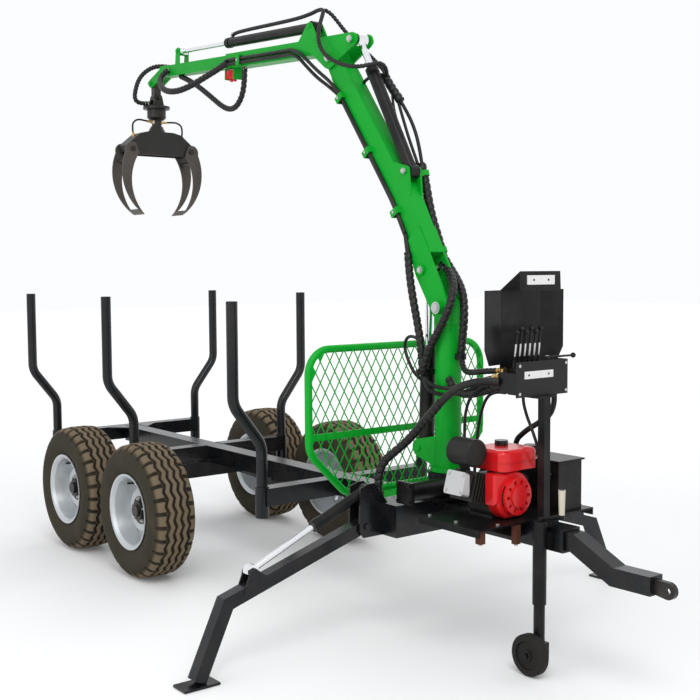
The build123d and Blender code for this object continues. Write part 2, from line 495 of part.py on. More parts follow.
for s in (hang_s - 8, hang_s + hang_len):
    jib += jib_block(s, s + 8, jib_floor - hang_h, jib_floor + 1, -hang_half, hang_half)
valve = jib_block(hang_s, hang_s + hang_len, jib_floor - hang_h + 6, jib_floor - 8, -hang_half + 4,
                  hang_half - 4)
for s in (hang_s + 22, hang_s + hang_len - 22):
    valve += bar(in_xz(*jib_at(s, jib_floor - hang_h - 10)), in_xz(*jib_at(s, jib_floor - hang_h + 8)), 10)
save("diverter_valve", valve)
lines = []
for n in (JIB_LIFT - 22, JIB_LIFT + 2):
    y = -JIB_W / 2 - HOSE_R - SEAT_GAP
    lines.append(bar(in_xz(*jib_at(350, n), y), in_xz(*jib_at(JIB_END - 30, n), y), HOSE_R))
save("jib_hoses", Compound(children=lines))
tele_reach = TELE_R + SIDE_GAP + 16
jib += pin_y(jib_at(TELE_PIN, TELE_LIFT), 13, -tele_reach, tele_reach)
save("jib", jib)

# Ram that slides the extension, along the jib
body, shaft, _ = ram(jib_at(TELE_PIN, TELE_LIFT), jib_at(TELE_EYE, TELE_LIFT), in_xz, TELE_NOSE - TELE_PIN,
                     TELE_ROD_IN - TELE_PIN, TELE_R, TELE_ROD_R, TELE_R)
save("tele_barrel", body - pin_y(jib_at(TELE_PIN, TELE_LIFT), 13, -99, 99))
save("tele_rod", shaft - pin_y(jib_at(TELE_EYE, TELE_LIFT), 11, -99, 99))

ext = jib_box(EXT_START, EXT_END, EXT_H, EXT_W) - jib_box(EXT_START - 1, EXT_END - 8, EXT_H - 2 * EXT_WALL,
                                                          EXT_W - 2 * EXT_WALL)
link_half = 24
for side in (-1, 1):
    y0, y1 = sorted((side * TELE_R, side * (TELE_R + 8)))
    ext += hull_plate([jib_disc(TELE_EYE, TELE_LIFT, 20), jib_disc(TELE_EYE - 18, JIB_LIFT + EXT_H / 2 - 10,
                                                                   8),
                       jib_disc(TELE_EYE + 18, JIB_LIFT + EXT_H / 2 - 10, 8)], y0, y1)
    y0, y1 = sorted((side * (link_half + SIDE_GAP), side * EXT_W / 2))
    ext += hull_plate([jib_disc(LINK_S, LINK_N, 28), jib_disc(EXT_END - 30, JIB_LIFT + 25, 8),
                       jib_disc(EXT_END - 20, JIB_LIFT - 27, 6)], y0, y1)
ext += pin_y(jib_at(TELE_EYE, TELE_LIFT), 11, -TELE_R - 16, TELE_R + 16)
link_at = jib_at(LINK_S, LINK_N)
save("extension", ext + pin_y(link_at, 14, -EXT_W / 2 - 14, EXT_W / 2 + 14))

# Link with two crossed eyes, and the rotator that hangs from it
sway_at = (link_at[0], link_at[1] - LINK_DROP)
link = pin_y(link_at, 30, -link_half, link_half) + block(sway_at[0] - 22, sway_at[0] + 22, -24, 24,
                                                         sway_at[1], link_at[1] - 10)
link += bar((sway_at[0] - 22, 0, sway_at[1]), (sway_at[0] + 22, 0, sway_at[1]), 30)
link -= pin_y(link_at, 14 + RUN_GAP, -99, 99)
save("link", link - bar((sway_at[0] - 99, 0, sway_at[1]), (sway_at[0] + 99, 0, sway_at[1]), 13 + RUN_GAP))

rotor_top = sway_at[1] - ROTOR_UNDER
rotor_bottom = rotor_top - ROTOR_H
rotator = bar((sway_at[0], 0, rotor_bottom), (sway_at[0], 0, rotor_top - 20), 62)
rotator = chamfer(rotator.edges().group_by(Axis.Z)[0], 16)
rotator += bar((sway_at[0], 0, rotor_top - 38), (sway_at[0], 0, rotor_top - 20), 88)
for side in (-1, 1):
    x0, x1 = sorted((sway_at[0] + side * 25, sway_at[0] + side * 37))
    fork = [(-40, rotor_top - 24), (40, rotor_top - 24), (24, sway_at[1] + 10), (10, sway_at[1] + 24),
            (-10, sway_at[1] + 24), (-24, sway_at[1] + 10)]
    rotator += plate_x(fork, x0, x1)
rotator += bar((sway_at[0] - 56, 0, sway_at[1]), (sway_at[0] + 56, 0, sway_at[1]), 13)
shaft_r = 32
socket = bar((sway_at[0], 0, rotor_bottom - 1), (sway_at[0], 0, rotor_bottom + 40), shaft_r + RUN_GAP)
save("rotator", rotator - socket)

# Grapple: a housing on the rotator's shaft and two pairs of curved tines that close in y
gx = sway_at[0]
grab_half = TINE_X - SIDE_GAP
grab_top = rotor_bottom - GRAB_UNDER
grab_floor = grab_top - GRAB_H
tine_z = grab_floor + TINE_RISE
tip_z = tine_z - TINE_DROP
edge_y, low_y = TINE_Y + 35, TINE_Y + 17
arch = [(90, grab_top), (150, grab_top - 14), (edge_y, grab_floor + 50), (low_y, grab_floor - 8)]
grab = plate_x(arch + [(-y, z) for y, z in arch[::-1]], gx - grab_half, gx + grab_half)
grab -= plate_x([(-low_y - 5, grab_floor + 10), (low_y + 5, grab_floor + 10), (low_y, grab_floor - 40),
                 (-low_y, grab_floor - 40)], gx - grab_half + 10, gx + grab_half - 10)
grab += bar((gx, 0, grab_top - 4), (gx, 0, rotor_bottom + 36), shaft_r)
grab += Pos(gx, 0, grab_top + 18) * Cone(62, 40, 44)
for side in (-1, 1):
    reach = TINE_X + TINE_T + 10
    grab += bar((gx - reach, side * TINE_Y, tine_z), (gx + reach, side * TINE_Y, tine_z), 16)
save("grapple_head", grab)

for tag, side in (("right", -1), ("left", 1)):
    with BuildLine() as claw:
        ThreePointArc((0, TINE_Y - 20, tine_z + 36), (0, TINE_Y + 38, tine_z + 30),
                      (0, TINE_Y + 52, tine_z - 20))
        ThreePointArc((0, TINE_Y + 52, tine_z - 20), (0, TINE_Y + 76, tine_z - 190), (0, TINE_TIP_Y, tip_z))
        ThreePointArc((0, TINE_TIP_Y, tip_z), (0, TINE_Y + 14, tine_z - 214), (0, TINE_Y - 44, tine_z - 24))
        Line((0, TINE_Y - 44, tine_z - 24), (0, TINE_Y - 20, tine_z + 36))
    blade = make_face(claw.line)
    tine = extrude(Pos(gx + TINE_X, 0, 0) * blade, amount=TINE_T, dir=(1, 0, 0))
    tine += extrude(Pos(gx - TINE_X - TINE_T, 0, 0) * blade, amount=TINE_T, dir=(1, 0, 0))
    tine += bar((gx - TINE_X, TINE_Y + 20, tine_z - 75), (gx + TINE_X, TINE_Y + 20, tine_z - 75), 14)
    tip_web = extrude(Pos(gx - TINE_X, 0, 0) * blade, amount=2 * TINE_X, dir=(1, 0, 0))
    tine += tip_web & block(gx - 200, gx + 200, -50, 400, tip_z - 10, tip_z + 34)
    tine -= bar((gx - 200, TINE_Y, tine_z), (gx + 200, TINE_Y, tine_z), 16 + RUN_GAP)
    save(f"tine_{tag}", tine if side > 0 else mirror(tine, about=Plane.XZ))
print("crane done")

# Engine deck on brackets over the spine

deck = block(DECK_X0, DECK_X1, -DECK_HALF, DECK_HALF, DECK_TOP - DECK_T, DECK_TOP)
for side in (-1, 1):
    y0, y1 = sorted((side * DECK_HALF, side * (DECK_HALF - 6)))
    deck += block(DECK_X0, DECK_X1, y0, y1, DECK_TOP - 34, DECK_TOP)
    for x in (DECK_X0 + 60, DECK_X1 - 60):
        brace = [(side * SPINE_W / 2, SPINE_TOP - 70), (side * (SPINE_W / 2 + 40), SPINE_TOP - 70),
                 (side * (DECK_HALF - 60), DECK_TOP - DECK_T), (side * SPINE_W / 2, DECK_TOP - DECK_T)]
        deck += plate_x(brace, x - 5, x + 5)
deck -= block(0, 4000, -SPINE_W / 2, SPINE_W / 2, 0, SPINE_TOP)
save("engine_deck", deck)

# Engine, crank along x: crankcase on feet, finned barrel to the right, head with its cover
block_x0, block_x1 = 2500, 2640
engine = block(block_x0, block_x1, CRANK_Y - 85, CRANK_Y + 90, DECK_TOP + 12, CRANK_Z + 80)
engine = fillet(engine.edges().filter_by(Axis.X), 22)
engine += block(block_x0, block_x1, CRANK_Y - 80, CRANK_Y + 80, DECK_TOP, DECK_TOP + 14)
tilt = Pos(0, CRANK_Y, CRANK_Z) * Rot(-16, 0, 0)
mid_x = (block_x0 + block_x1) / 2
engine += tilt * block(mid_x - 48, mid_x + 48, -205, -60, -46, 46)
for i in range(6):
    engine += tilt * block(mid_x - 66, mid_x + 66, -102 - 18 * i, -96 - 18 * i, -66, 66)
head_cover = tilt * block(mid_x - 58, mid_x + 58, -246, -203, -52, 52)
engine += fillet(head_cover.edges().filter_by(Axis.Y, tolerance=30), 12)
save("engine_block", engine)

# Cooling fan's cover in front, with the pull starter as a shallow drum
cowl_r = 108
cowl = bar((block_x1, CRANK_Y, CRANK_Z), (block_x1 + 58, CRANK_Y, CRANK_Z), cowl_r)
cowl += block(block_x1, block_x1 + 58, CRANK_Y - 120, CRANK_Y, CRANK_Z - 30, CRANK_Z + 104)
cowl -= block(0, 4000, -1000, 1000, 0, DECK_TOP + 4)
cowl = fillet(cowl.faces().sort_by(Axis.X)[-1].edges(), 14)
cowl += bar((block_x1 + 50, CRANK_Y, CRANK_Z), (block_x1 + 84, CRANK_Y, CRANK_Z), 82)
cowl += bar((block_x1 + 80, CRANK_Y, CRANK_Z), (block_x1 + 92, CRANK_Y, CRANK_Z), 46)
for i in range(10):
    cowl -= Pos(block_x1 + 84, CRANK_Y, CRANK_Z) * Rot(36 * i, 0, 0) * block(-12, 4, 54, 72, -7, 7)
save("fan_cover", cowl)

tank_z = CRANK_Z + 112
tank = block(block_x0 - 10, block_x1 + 70, CRANK_Y - 85, CRANK_Y + 145, tank_z, tank_z + 92)
tank = fillet(tank.edges().filter_by(Axis.Z), 36)
tank = fillet(tank.faces().sort_by(Axis.Z)[-1].edges(), 24)
tank += bar((block_x1 - 60, CRANK_Y + 40, tank_z + 80), (block_x1 - 60, CRANK_Y + 40, tank_z + 116), 30)
for x in (block_x0 + 20, block_x1 - 20):
    tank += block(x - 10, x + 10, CRANK_Y + 20, CRANK_Y + 60, CRANK_Z + 80, tank_z + 10)
save("fuel_tank", tank)

# Air cleaner over the head, a round can on an elbow
can_y, can_z = -252, 938
cleaner = bar((mid_x - 70, can_y, can_z), (mid_x + 70, can_y, can_z), 62)
cleaner = fillet(cleaner.edges().filter_by(GeomType.CIRCLE), 12)
cleaner += bar((mid_x - 20, can_y, can_z - 40), (mid_x - 20, can_y + 30, CRANK_Z + 60), 22)
save("air_cleaner", cleaner - engine)

muffler = block(block_x0 + 4, block_x1 - 4, CRANK_Y + 98, CRANK_Y + 158, CRANK_Z - 40, CRANK_Z + 70)
muffler = fillet(muffler.edges().filter_by(Axis.X), 26)
muffler += block(mid_x - 20, mid_x + 20, CRANK_Y + 90, CRANK_Y + 100, CRANK_Z, CRANK_Z + 50)
save("muffler", muffler)

# Gear pump behind the engine on a bell housing
pump = bar((block_x0 - 44, CRANK_Y, CRANK_Z), (block_x0, CRANK_Y, CRANK_Z), 66)
pump += block(block_x0 - 112, block_x0 - 40, CRANK_Y - 45, CRANK_Y + 45, CRANK_Z - 55, CRANK_Z + 55)
save("pump", pump)

# Oil tank with a lid and filler
oil_y0, oil_y1, oil_x0, oil_x1, oil_top = 150, 305, 2445, 2745, 866
oil = block(oil_x0, oil_x1, oil_y0, oil_y1, DECK_TOP, oil_top)
oil += block(oil_x0 - 10, oil_x1 + 10, oil_y0 - 10, oil_y1 + 10, oil_top, oil_top + 8)
oil += bar((oil_x0 + 60, 230, oil_top), (oil_x0 + 60, 230, oil_top + 46), 34)
save("oil_tank", oil)

# Valve post, valve block with its levers, front panel and sheet shield
post = block(POST_X - 19, POST_X + 19, -19, 19, SPINE_TOP, POST_TOP)
post += block(POST_X - 26, POST_X + 44, -50, 50, SPINE_TOP, SPINE_TOP + 10)
post += block(POST_X - 110, POST_X + 19, -60, 60, POST_TOP, POST_TOP + 8)
save("valve_post", post)

valve_x0, valve_x1, valve_z0, valve_z1 = POST_X - 124, POST_X - 12, POST_TOP + 8, POST_TOP + 124
lever_x, lever_y0, lever_h = POST_X - 104, -79, 150
panel_t, panel_right, panel_left, panel_top = 5, -166, 158, valve_z1 + 36
valve = block(valve_x0, valve_x1, panel_right + 16, panel_left - 18, valve_z0 + 12, valve_z1 - 14)
for i in range(LEVERS):
    y = lever_y0 + LEVER_PITCH * i
    valve += block(valve_x0 - 4, valve_x1, y - LEVER_PITCH / 2 + 2, y + LEVER_PITCH / 2 - 2, valve_z0,
                   valve_z1)
    valve += bar((lever_x, y, valve_z1), (lever_x, y, valve_z1 + 34), 10)
    valve += bar((lever_x, y, valve_z1 + 20), (lever_x + 14, y, valve_z1 + lever_h + 15 * (i % 2)), 5)
    valve += Pos(lever_x + 15, y, valve_z1 + lever_h + 8 + 15 * (i % 2)) * Sphere(10)
# One more lever lies along the panel
side_lever = (POST_X - 37, valve_z1 + 46)
valve += bar((side_lever[0], 55, valve_z1), (side_lever[0], 55, side_lever[1] + 8), 9)
valve += bar((side_lever[0], 55, side_lever[1]), (side_lever[0], 222, side_lever[1]), 5)
valve += Pos(side_lever[0], 228, side_lever[1]) * Sphere(11)
valve += block(valve_x1, valve_x1 + panel_t, panel_right, panel_left, valve_z0, panel_top)
valve += block(valve_x1 - 60, valve_x1, panel_left - 4, panel_left, valve_z0, panel_top)
save("valve_block", valve)

# Shield: a back wall with flared wings, cut off below at a slant, and a hood
sheet_t, wall_x = 4, POST_X - 141
wall_half, wing_half, wing_x, wall_z1 = 127, 249, wall_x + 28, POST_TOP + 464
wing_z0, wing_cut = valve_z1 + 16, 70
shield = block(wall_x - sheet_t, wall_x, -wall_half, wall_half, valve_z0 + 20, wall_z1)
for side in (-1, 1):
    flare = [(wall_x - sheet_t, side * wall_half), (wall_x, side * (wall_half - 1)),
             (wing_x, side * (wing_half - 1)),
             (wing_x - sheet_t, side * wing_half)]
    wing = make_face(Polyline(*[(x, y, wing_z0) for x, y in flare], close=True))
    wing = extrude(wing, amount=wall_z1 - wing_z0, dir=(0, 0, 1))
    slant = [(side * (wing_half - wing_cut / 2), wing_z0), (side * (wing_half + 1), wing_z0),
             (side * (wing_half + 1), wing_z0 + wing_cut)]
    shield += wing - plate_x(slant, wall_x - 50, wing_x + 50)
hood_line = [(wall_x - sheet_t / 2, wall_z1 - 2), (wall_x + 112, wall_z1 + 78), (wall_x + 116, wall_z1 - 3)]
shield += plate_y(strip(hood_line, sheet_t), -wall_half, wall_half)
for y in (-72, 72):
    shield += block(wall_x, valve_x0 - 4, y - 12, y + 12, valve_z0 + 30, valve_z0 + 60)
save("lever_shield", shield)

# Hoses held between the stand, the pump, the oil tank and the stabiliser box
bank_x = valve_x0 - 4
routes = (
    # name, radius, points
    ("legs", 17, [(2668, -151, 1246), (2600, -205, 1246), (2512, -245, 1218), (2410, -255, 1142),
                  (2300, -258, 1040),
                  (2195, -256, 948), (2125, -270, 890), (2074, -295, 845), (2047, -315, 785),
                  (2052, -325, 715),
                  (2068.6, -325, STAB_TOP + 5)]),
    ("return", RETURN_R, [(2755, 104, 1195), (2757, 104, 1140), (2738, 101, 1088), (2680, 95, 1048),
                          (2590, 104, 1000),
                          (2515, 124, 950), (2484, 146, 905), (2479, 158, oil_top + 15.5)]),
    ("suction", 7, [(2671, -4, 1183), (2673, -3, 1140), (2690, 0, 1085), (2724, 4, 1017), (2746, 12, 950),
                    (2753, 36, 885), (2744, 82, 838), (2722, 118, 815), (2707, oil_y0 - 4.2, 807)]),
    ("pressure", 7, [(bank_x, -140, 1222), (2606, -147, 1224), (2545, -153, 1206), (2490, -154, 1160),
                     (2458, -150, 1090),
                     (2444, -142, 1010), (2430, -126, 930), (2412, -108, 860), (2404, -100, CRANK_Z + 57)]),
    ("bypass", 7, [(bank_x, -108, 1193), (2610, -104, 1192), (2552, -92, 1175), (2508, -78, 1139),
                   (2474, -66, 1086), (2452, -62, 1015), (2442, -64, 935), (2438, -68, 862),
                   (2436, -70, CRANK_Z + 56)]),
)
save("stand_hoses", Compound(children=[hose(name, points, radius) for name, radius, points in routes]))

# Jack beside the spine: fixed tube with crank, sliding stem, small wheel on its right side
jack_top, jack_low = 660, 300
jack = bar((JACK_X, JACK_Y, jack_low), (JACK_X, JACK_Y, jack_top), JACK_R)
jack -= bar((JACK_X, JACK_Y, jack_low - 1), (JACK_X, JACK_Y, jack_top - 12), JACK_STEM_R + RUN_GAP)
bracket = block(JACK_X - 40, JACK_X + 40, JACK_Y + 10, -SPINE_W / 2, 545, 615)
jack += bracket - bar((JACK_X, JACK_Y, 0), (JACK_X, JACK_Y, 1000), JACK_R - 2)
crank_z, grip_x, grip_y = jack_top + 10, JACK_X + 40, JACK_Y + 93
jack += bar((JACK_X, JACK_Y, jack_top - 6), (JACK_X, JACK_Y, crank_z + 9), 10)
jack += bar((JACK_X, JACK_Y, crank_z), (grip_x, grip_y, crank_z), 7)
jack += bar((grip_x, grip_y, crank_z - 9), (grip_x, grip_y, crank_z + 120), 12)
save("jack_tube", jack)

stem_top, knuckle_z = 440, 62
stem = bar((JACK_X, JACK_Y, JOCKEY_R), (JACK_X, JACK_Y, stem_top), JACK_STEM_R)
stem += block(JACK_X - 34, JACK_X + 34, JACK_Y - 30, JACK_Y + 26, knuckle_z, knuckle_z + 74)
wheel_y = JACK_Y - 30 - SIDE_GAP - JOCKEY_W / 2
stem += bar((JACK_X, JACK_Y, JOCKEY_R), (JACK_X, wheel_y - JOCKEY_W / 2 - 12, JOCKEY_R), 11)
save("jack_stem", stem)

wheel = bar((JACK_X, wheel_y - JOCKEY_W / 2, JOCKEY_R), (JACK_X, wheel_y + JOCKEY_W / 2, JOCKEY_R), JOCKEY_R)
wheel = fillet(wheel.edges().filter_by(GeomType.CIRCLE), 8)
for side in (-1, 1):
    y0, y1 = sorted((wheel_y + side * JOCKEY_W / 2, wheel_y + side * (JOCKEY_W / 2 - 8)))
    wheel -= bar((JACK_X, y0, JOCKEY_R), (JACK_X, y1, JOCKEY_R), 62) - bar((JACK_X, y0, JOCKEY_R),
                                                                           (JACK_X, y1, JOCKEY_R), 24)
save("jockey_wheel", wheel - bar((JACK_X, wheel_y - 99, JOCKEY_R), (JACK_X, wheel_y + 99, JOCKEY_R),
                                 11 + RUN_GAP))
print(len(written), "nodes")
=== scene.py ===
import bpy, bmesh, math
from mathutils import Matrix, Vector


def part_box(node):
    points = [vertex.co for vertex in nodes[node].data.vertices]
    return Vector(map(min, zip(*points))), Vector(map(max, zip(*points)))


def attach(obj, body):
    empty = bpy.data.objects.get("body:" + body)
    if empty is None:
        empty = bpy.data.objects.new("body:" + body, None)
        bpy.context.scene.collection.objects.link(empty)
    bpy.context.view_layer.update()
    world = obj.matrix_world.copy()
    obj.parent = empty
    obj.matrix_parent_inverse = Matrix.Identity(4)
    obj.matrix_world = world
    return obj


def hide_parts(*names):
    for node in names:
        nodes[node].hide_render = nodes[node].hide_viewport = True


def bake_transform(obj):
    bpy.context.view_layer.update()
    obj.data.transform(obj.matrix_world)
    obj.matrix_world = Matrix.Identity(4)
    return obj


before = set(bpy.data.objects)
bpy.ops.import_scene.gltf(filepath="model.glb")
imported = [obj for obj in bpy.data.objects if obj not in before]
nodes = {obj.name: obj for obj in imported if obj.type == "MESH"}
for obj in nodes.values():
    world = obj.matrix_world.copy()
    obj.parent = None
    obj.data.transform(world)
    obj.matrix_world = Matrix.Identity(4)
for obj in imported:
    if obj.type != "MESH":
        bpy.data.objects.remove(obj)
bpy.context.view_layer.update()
scene = bpy.context.scene
scene.view_settings.view_transform = "Standard"

# Drawing frame of the model: x = 0 at the bogie, millimetres; the row frame is shifted and in metres
midX = 1145.0


def at(x, y, z):
    return Vector(((x - midX) / 1000, y / 1000, z / 1000))


# Camera, as fitted to the photograph
cameraSpec = {"place": (6020.56, -3588.03, 1739.07), "yaw": 142.0, "pitch": -4.24, "roll": -0.32,
              "lens": 56.84, "sensor": 36.0, "farthest": 100}


def makeCamera(spec):
    yaw, pitch, roll = (math.radians(spec[k]) for k in ("yaw", "pitch", "roll"))
    level = math.cos(pitch)
    look = Vector((level * math.cos(yaw), level * math.sin(yaw), math.sin(pitch)))
    right = look.cross(Vector((0, 0, 1))).normalized()
    up = right.cross(look)
    rolledRight = math.cos(roll) * right + math.sin(roll) * up
    rolledUp = math.cos(roll) * up - math.sin(roll) * right
    turn = Matrix((rolledRight, rolledUp, -look)).transposed()
    data = bpy.data.cameras.new("photoCamera")
    data.lens, data.sensor_width, data.clip_end = spec["lens"], spec["sensor"], spec["farthest"]
    cam = bpy.data.objects.new("photoCamera", data)
    scene.collection.objects.link(cam)
    cam.matrix_world = Matrix.Translation(at(*spec["place"])) @ turn.to_4x4()
    scene.camera = cam


makeCamera(cameraSpec)


# Materials

def newMaterial(name):
    mat = bpy.data.materials.new(name)
    mat.use_nodes = True
    tree = mat.node_tree
    return mat, tree, tree.nodes["Principled BSDF"]


def addNode(tree, kind, **values):
    node = tree.nodes.new(kind)
    for key, value in values.items():
        if key in node.inputs:
            node.inputs[key].default_value = value
        else:
            setattr(node, key, value)
    return node


dustSpec = {"cloudScale": 6.0, "cloudDetail": 6.0, "cloudRoughness": 0.62, "fineScale": 90.0,
            "fineDetail": 3.0, "from": 0.45, "to": 0.75, "addedRoughness": 0.35}


def dustGroup(spec):
    # Blends a dust colour in by noise, and roughens what it covers
    group = bpy.data.node_groups.new("dustAndWear", "ShaderNodeTree")
    colour, number = "NodeSocketColor", "NodeSocketFloat"
    for name, kind in (("Color", colour), ("Roughness", number), ("Dust", number), ("Dust Color", colour)):
        group.interface.new_socket(name, in_out="INPUT", socket_type=kind)
    for name, kind in (("Color", colour), ("Roughness", number), ("Height", number)):
        group.interface.new_socket(name, in_out="OUTPUT", socket_type=kind)
    start, end = group.nodes.new("NodeGroupInput"), group.nodes.new("NodeGroupOutput")
    coord = group.nodes.new("ShaderNodeTexCoord")
    cloud = addNode(group, "ShaderNodeTexNoise", Scale=spec["cloudScale"], Detail=spec["cloudDetail"],
                    Roughness=spec["cloudRoughness"])
    fine = addNode(group, "ShaderNodeTexNoise", Scale=spec["fineScale"], Detail=spec["fineDetail"])
    ramp = group.nodes.new("ShaderNodeMapRange")
    ramp.inputs["From Min"].default_value = spec["from"]
    ramp.inputs["From Max"].default_value = spec["to"]
    amount = addNode(group, "ShaderNodeMath", operation="MULTIPLY")
    mix = addNode(group, "ShaderNodeMix", data_type="RGBA")
    rough = addNode(group, "ShaderNodeMath", operation="MULTIPLY_ADD")
    rough.inputs[1].default_value = spec["addedRoughness"]
    link = group.links.new
    link(coord.outputs["Object"], cloud.inputs["Vector"])
    link(coord.outputs["Object"], fine.inputs["Vector"])
    link(cloud.outputs["Fac"], ramp.inputs["Value"])
    link(ramp.outputs["Result"], amount.inputs[0])
    link(start.outputs["Dust"], amount.inputs[1])
    link(amount.outputs[0], mix.inputs["Factor"])
    link(start.outputs["Color"], mix.inputs["A"])
    link(start.outputs["Dust Color"], mix.inputs["B"])
    link(amount.outputs[0], rough.inputs[0])
    link(start.outputs["Roughness"], rough.inputs[2])
    link(mix.outputs["Result"], end.inputs["Color"])
    link(rough.outputs[0], end.inputs["Roughness"])
    link(fine.outputs["Fac"], end.inputs["Height"])
    return group


dust = dustGroup(dustSpec)
coatRoughness = 0.08
reliefDepth = 0.002
paleDust, brownDust, darkDust = (0.34, 0.29, 0.22, 1), (0.11, 0.08, 0.055, 1), (0.05, 0.04, 0.03, 1)
wrapDust, tineDust, rustDust = (0.06, 0.05, 0.04, 1), (0.03, 0.024, 0.02, 1), (0.03, 0.015, 0.01, 1)


def paint(name, colour, rough, metal=0.0, coat=0.0, dustAmount=0.15, dustColour=paleDust, bump=0.02,
          specular=0.5):
    mat, tree, shader = newMaterial(name)
    shader.inputs["Base Color"].default_value = (*colour, 1)
    shader.inputs["Roughness"].default_value = rough
    shader.inputs["Metallic"].default_value = metal
    shader.inputs["Coat Weight"].default_value = coat
    shader.inputs["Coat Roughness"].default_value = coatRoughness
    shader.inputs["Specular IOR Level"].default_value = specular
    if dustAmount == 0:
        # A clean finish is the same all over and has no relief
        return mat
    grime = tree.nodes.new("ShaderNodeGroup")
    grime.node_tree = dust
    grime.inputs["Color"].default_value = (*colour, 1)
    grime.inputs["Roughness"].default_value = rough
    grime.inputs["Dust"].default_value = dustAmount
    grime.inputs["Dust Color"].default_value = dustColour
    relief = addNode(tree, "ShaderNodeBump", Strength=bump, Distance=reliefDepth)
    tree.links.new(grime.outputs["Color"], shader.inputs["Base Color"])
    tree.links.new(grime.outputs["Roughness"], shader.inputs["Roughness"])
    tree.links.new(grime.outputs["Height"], relief.inputs["Height"])
    tree.links.new(relief.outputs["Normal"], shader.inputs["Normal"])
    return mat


engineRed = (0.64, 0.009, 0.012)
green = paint("greenPaint", (0.001, 0.34, 0.022), 0.42, coat=0.06, dustAmount=0.02, specular=0.14)
black = paint("blackPaint", (0.0045, 0.0048, 0.0055), 0.34, coat=0.03, dustAmount=0.05, specular=0.18)
chassisBlack = paint("chassisBlack", (0.0040, 0.0048, 0.0064), 0.27, coat=0.08, dustAmount=0.04,
                     specular=0.28)
silver = paint("silverPaint", (0.54, 0.57, 0.59), 0.36, metal=0.6, dustAmount=0.22)
rubber = paint("tyreRubber", (0.04, 0.034, 0.026), 0.80, dustAmount=0.35, dustColour=brownDust, bump=0.15,
               specular=0.15)
wheelRubber = paint("wheelRubber", (0.014, 0.013, 0.012), 0.7, dustAmount=0.2, dustColour=darkDust,
                    specular=0.2)
wrapBlack = paint("wrapBlack", (0.0085, 0.0078, 0.0075), 0.38, dustAmount=0.10, dustColour=wrapDust,
                  specular=0.30)
hoseBlack = paint("hoseBlack", (0.0055, 0.0055, 0.006), 0.42, dustAmount=0.06, specular=0.28)
chrome = paint("chromeRod", (0.80, 0.81, 0.83), 0.14, metal=1.0, dustAmount=0)
steel = paint("brightSteel", (0.58, 0.58, 0.57), 0.34, metal=1.0, dustAmount=0.1)
red = paint("redPaint", engineRed, 0.32, coat=0.25, dustAmount=0.03, specular=0.3)
plastic = paint("blackPlastic", (0.006, 0.006, 0.0065), 0.45, dustAmount=0.05, bump=0.08, specular=0.25)
darkSteel = paint("darkSteel", (0.0085, 0.0080, 0.0072), 0.40, coat=0.05, dustAmount=0.12, specular=0.30)
grabPaint = paint("grabPaint", (0.017, 0.016, 0.015), 0.42, dustAmount=0.25, dustColour=darkDust,
                  specular=0.3)
tineSteel = paint("tineSteel", (0.075, 0.062, 0.052), 0.46, metal=0.35, dustAmount=0.5, dustColour=tineDust)
brass = paint("brassFitting", (0.65, 0.42, 0.13), 0.32, metal=1.0, dustAmount=0.05)
white = paint("whitePlate", (0.74, 0.74, 0.72), 0.4, dustAmount=0.06)
cream = paint("creamGrip", (0.58, 0.54, 0.43), 0.45, dustAmount=0.1)
rust = paint("rustyBar", (0.085, 0.030, 0.014), 0.6, dustAmount=0.4, dustColour=rustDust, specular=0.2)

# Finishes of pieces in two paints, as colour, roughness and metal
castGrey, coverAlloy = ((0.022, 0.022, 0.021), 0.5, 0.3), ((0.55, 0.56, 0.56), 0.42, 0.75)
plainBlack, valveSteel = ((0.0050, 0.0050, 0.0055), 0.38, 0.0), ((0.60, 0.60, 0.60), 0.30, 0.9)
tankRed = (engineRed, 0.32, 0.0)
splitSpecular = 0.3


def splitPaint(name, outside, inside, axis, low, high, coat=0.0):
    # One finish between two coordinates of the row frame and another outside them
    mat, tree, shader = newMaterial(name)
    coord, part = tree.nodes.new("ShaderNodeTexCoord"), tree.nodes.new("ShaderNodeSeparateXYZ")
    test = addNode(tree, "ShaderNodeMath", operation="COMPARE")
    test.inputs[1].default_value, test.inputs[2].default_value = (low + high) / 2, (high - low) / 2
    tree.links.new(coord.outputs["Object"], part.inputs["Vector"])
    tree.links.new(part.outputs[axis], test.inputs[0])
    for socket, kind, a, b in (("Base Color", "RGBA", (*outside[0], 1), (*inside[0], 1)),
                               ("Roughness", "FLOAT", outside[1], inside[1]),
                               ("Metallic", "FLOAT", outside[2], inside[2])):
        if a == b:
            shader.inputs[socket].default_value = a
            continue
        mix = addNode(tree, "ShaderNodeMix", data_type=kind)
        ends = [k for k in mix.inputs if k.enabled and k.name in ("A", "B")]
        ends[0].default_value, ends[1].default_value = a, b
        tree.links.new(test.outputs[0], mix.inputs["Factor"])
        tree.links.new(next(k for k in mix.outputs if k.enabled), shader.inputs[socket])
    shader.inputs["Specular IOR Level"].default_value = splitSpecular
    shader.inputs["Coat Weight"].default_value = coat
    return mat


tankTop, capHeight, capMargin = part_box("fuel_tank")[1][2], 0.0235, 0.01
engineCast = splitPaint("engineCast", castGrey, coverAlloy, axis="Y", low=-0.6, high=-0.288)
valvePaint = splitPaint("valvePaint", plainBlack, valveSteel, axis="Z", low=1.352, high=1.406)
tankPaint = splitPaint("tankPaint", tankRed, plainBlack, axis="Z", low=tankTop - capHeight,
                       high=tankTop + capMargin, coat=0.25)

# Shades of the tread: 1 on the faces of the ribs, which are lighter where worn and dusty, a lower level on
# the side walls, and down to 0 in a groove, where the darkening with the depth of the cut is painted shade
sidewallLevel = 0.35
treadShades = {"groove": (0.024, 0.020, 0.014, 1), "sidewall": (0.036, 0.032, 0.021, 1),
               "worn": (0.165, 0.125, 0.082, 1)}


